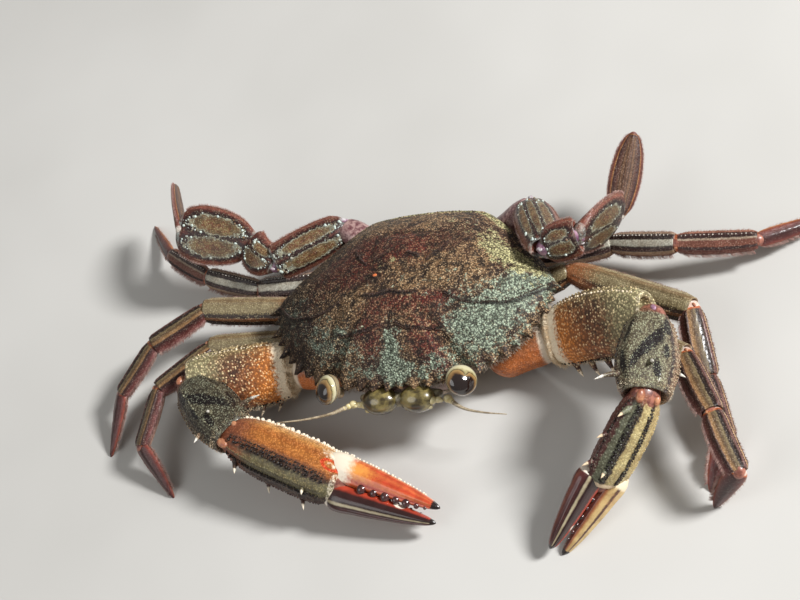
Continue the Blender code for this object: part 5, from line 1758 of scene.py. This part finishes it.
# Swimming legs. The last pair is flattened into paddles. Cream rings lie on the plates, and both edges
# carry a dense fringe of hairs.
PLATE = (
    (-0.08, 0.05, 0.5), (-0.07, 0.3, 0.9), (0.0, 0.45, 1.25), (0.2, 0.8, 1.15), (0.5, 1.0, 1.0),
    (0.8, 0.98, 1.0), (0.96, 0.78, 1.0), (1.03, 0.5, 0.9), (1.05, 0.3, 0.6), (1.05, 0.05, 0.1),
)
PADDLE = (
    (-0.06, 0.05, 0.3), (-0.05, 0.35, 1.3), (0.02, 0.6, 1.3), (0.25, 0.95, 1.1), (0.55, 1.0, 1.0),
    (0.8, 0.76, 0.85), (0.95, 0.38, 0.6), (1.0, 0.12, 0.4), (1.005, 0.03, 0.1),
)
SWIM_OVALS = striped_shell(
    "swim_ovals", (
        (0.0, (0.32, 0.19, 0.08)), (0.09, (0.17, 0.058, 0.030)), (0.17, (0.33, 0.24, 0.105)),
        (0.24, (0.20, 0.070, 0.036)), (0.31, (0.29, 0.23, 0.11)), (0.37, (0.20, 0.11, 0.06)),
        (0.41, (0.38, 0.36, 0.24)), (0.445, (0.46, 0.48, 0.38)), (0.47, (0.24, 0.23, 0.17)),
        (0.485, (0.030, 0.013, 0.013)), (0.61, (0.045, 0.016, 0.015)), (0.66, (0.12, 0.032, 0.024)),
        (0.82, (0.19, 0.060, 0.040)), (1.0, (0.26, 0.10, 0.075)),
    ),
    waver=0.5, specks=0.35, speck_colour=(0.44, 0.42, 0.26), by_band=True, warm=(0.24, 0.075, 0.048),
    pale=(0.52, 0.59, 0.54), tone=0.78, mottle=0.45,
)
SWIM_PADDLE = striped_shell(
    "swim_paddle", (
        (0.0, (0.15, 0.07, 0.045)), (0.10, (0.25, 0.13, 0.07)), (0.16, (0.07, 0.03, 0.020)),
        (0.22, (0.24, 0.125, 0.07)), (0.34, (0.28, 0.155, 0.085)), (0.40, (0.08, 0.035, 0.022)),
        (0.46, (0.20, 0.095, 0.055)), (0.60, (0.12, 0.045, 0.030)), (0.72, (0.07, 0.022, 0.018)),
        (0.80, (0.10, 0.03, 0.022)), (0.84, (0.56, 0.28, 0.09)), (0.88, (0.42, 0.15, 0.06)),
        (0.94, (0.22, 0.06, 0.045)), (1.0, (0.32, 0.12, 0.095)),
    ),
    waver=0.05, specks=0.12, speck_colour=(0.50, 0.42, 0.32), by_band=True, warm=(0.34, 0.10, 0.07),
    tone=0.64,
)
SWIM_KEELS = ((0.0, 0.3, 0.03), (0.25, 0.3, 0.05), (0.5, 0.3, 0.03), (0.75, 0.3, 0.05))
PLATE_KEELS = ((0.0, 0.25, 0.02), (0.25, 0.25, 0.06), (0.5, 0.25, 0.02), (0.75, 0.25, 0.06))
PADDLE_KEELS = ((0.0, 0.2, 0.02), (0.25, 0.3, 0.04), (0.5, 0.2, 0.02), (0.75, 0.3, 0.04))
SWIM_SHAPES = {  # profile, half sizes and keels
    "ischium": (ISCHIUM, (3.2, 2.8), HIP_KEELS),
    "merus": (MERUS, (4.6, 2.6), SWIM_KEELS),
    "carpus": (CARPUS, (4.2, 2.3), SWIM_KEELS),
    "propodus": (PLATE, (6.7, 1.3), PLATE_KEELS),
    "dactylus": (PADDLE, (3.3, 0.9), PADDLE_KEELS),
}
SWIM_JOINTS = (2.3, 2.3, 2.0, 1.3)
SWIM_HAIR_LENGTHS = (0.0, 0.4, 0.4, 0.5, 0.3)
SWIM_FACINGS = {
    "swim_leg_left": ((0.2, 0.3, 0.9), UP_LEFT, UP_LEFT, (0.84, -0.47, -0.23), UP_LEFT),
    "swim_leg_right": ((-0.2, 0.3, 0.9), UP_LEFT, UP_LEFT, UP_LEFT, (-0.90, -0.41, 0.10)),
}
# Rings on each segment: middle across and along, then half axes, as shares of half the breadth and of
# the length
SWIM_RINGS = {
    "merus": ((0.46, 0.52, 0.36, 0.47), (-0.38, 0.50, 0.33, 0.45)),
    "carpus": ((0.40, 0.50, 0.38, 0.43), (-0.36, 0.47, 0.31, 0.37)),
    "propodus": ((0.43, 0.51, 0.38, 0.40), (-0.39, 0.50, 0.37, 0.41)),
}
LEFT_MERUS_RINGS = ((0.62, 0.50, 0.20, 0.46), (0.10, 0.50, 0.21, 0.48), (-0.48, 0.50, 0.26, 0.45))


def ring_paint(rings, power):
    """Band: the distance from the nearest ring's middle, 0.5 being on the ring and 1 the most. The edges
    of the plate are redder and its two ends have a pale rim."""
    def paint(along, turn):
        breadth = box_round(turn, power)[0]
        band = np.full(along.shape, 1.0)
        for across_at, along_at, half_across, half_along in rings:
            x, y = np.abs((breadth - across_at) / half_across), np.abs((along - along_at) / half_along)
            band = np.minimum(band, (x ** 2.4 + y ** 2.4) ** (1 / 2.4) / 2)
        margin = ease(np.abs(breadth), 0.86, 0.97)
        rim = np.maximum(0.5 * ease(along, 0.965, 0.985), 0.5 - 0.5 * ease(along, 0.0, 0.035))
        return mark_fields(along, band=band + 0.35 * margin, pale=rim, warm=margin * 0.6)
    return paint


def ring_beads(segment, oval, share, rng):
    """Pale beads of uneven size round one oval of a plate's upper face, most of them at its two ends."""
    across_at, along_at, half_across, half_along = oval
    x, y = box_round(rng.uniform(0, 1, int(5.0 * segment.length)), 2.4)
    kept = rng.uniform(0, 1, len(x)) < share * (0.2 + 0.7 * y ** 4)
    x, y = x[kept], y[kept]
    count = len(x)
    off = rng.normal(1.0, 0.08, count)
    breadth = np.clip(across_at + x * half_across * off, -0.98, 0.98)
    turn = np.arccos(np.sign(breadth) * np.abs(breadth) ** (segment.power / 2)) / (2 * math.pi)
    place = along_at + y * half_along * off
    sizes = 0.12 + 0.30 * rng.uniform(0, 1, count) ** 2
    centres = segment.at(place, turn) - segment.normal(turn) * (sizes * 0.15)[:, None]
    marks = mark_fields(place, pale=rng.uniform(0.4, 0.95, count))
    return copies(BEAD, centres, sizes, marks, around(turn, place))


def paddle_paint(along, turn):
    """Band: the way out from the midrib to the edge, so that stripes run along the paddle."""
    outward = np.maximum(np.abs(box_round(turn, 2.3)[0]), ease(along, 0.86, 1.0))
    return mark_fields(along, band=outward, pale=0.6 - 0.6 * ease(along, -0.02, 0.05))


SWIM_ROOT = plain_material("swim_leg_root", (0.10, 0.028, 0.035), (0.36, 0.23, 0.21), 1000.0, 0.4, 0.2, 0.2)
for name, facings in SWIM_FACINGS.items():
    joints = np.array(LIMBS[name])
    sign = 1 if name.endswith("left") else -1
    rng = np.random.default_rng(60 + sign)
    segments = []
    for i, part in enumerate(SEGMENTS):
        profile, size, keels = SWIM_SHAPES[part]
        bow = 1.4 if (sign, part) == (-1, "carpus") else 0.0
        segments.append(Segment(joints[i], joints[i + 1], facings[i], sign, size, profile, keels, bow=bow))
    fringes = []
    for i, part in enumerate(SEGMENTS):
        segment = segments[i]
        rings = LEFT_MERUS_RINGS if (sign, part) == (1, "merus") else SWIM_RINGS.get(part, ())
        if part == "ischium":
            paint = warm_base(0.8)
        elif part == "dactylus":
            paint = paddle_paint
        else:
            paint = ring_paint(rings, segment.power)
        look = {"dactylus": SWIM_PADDLE, "ischium": SWIM_ROOT}.get(part, SWIM_OVALS)
        parts = [skin_part(segment, 0.25, 120, paint, grains=0.05, spacing=0.6)]
        for turn in (0.02, 0.48) if i > 0 else ():
            parts.append(bead_row(segment, turn, 0.08, 0.92, 0.55, 0.12, (0.2, 0.3, 0), rng))
        parts += [ring_beads(segment, oval, 0.35 if sign == 1 else 1.0, rng) for oval in rings]
        if i < 4:
            parts += joint_parts(joints[i + 1], segment, segments[i + 1], SWIM_JOINTS[i], 0.75)
        make_piece(f"{name}_{part}_shell", parts, [look, VIOLET, JOINT_PALE], [f"{name}_{part}"])
        if i > 0:
            amount = int(segment.length * (26 if i > 2 else 14))
            for turn in (0.0, 0.5):
                length = SWIM_HAIR_LENGTHS[i]
                fringes.append(fringe_of(segment, i, turn, 0.05, 0.97, amount, length, 0.6, rng))
    make_piece(f"{name}_hairs", fringes, [HAIR_PINK], uv_name="OFBake")
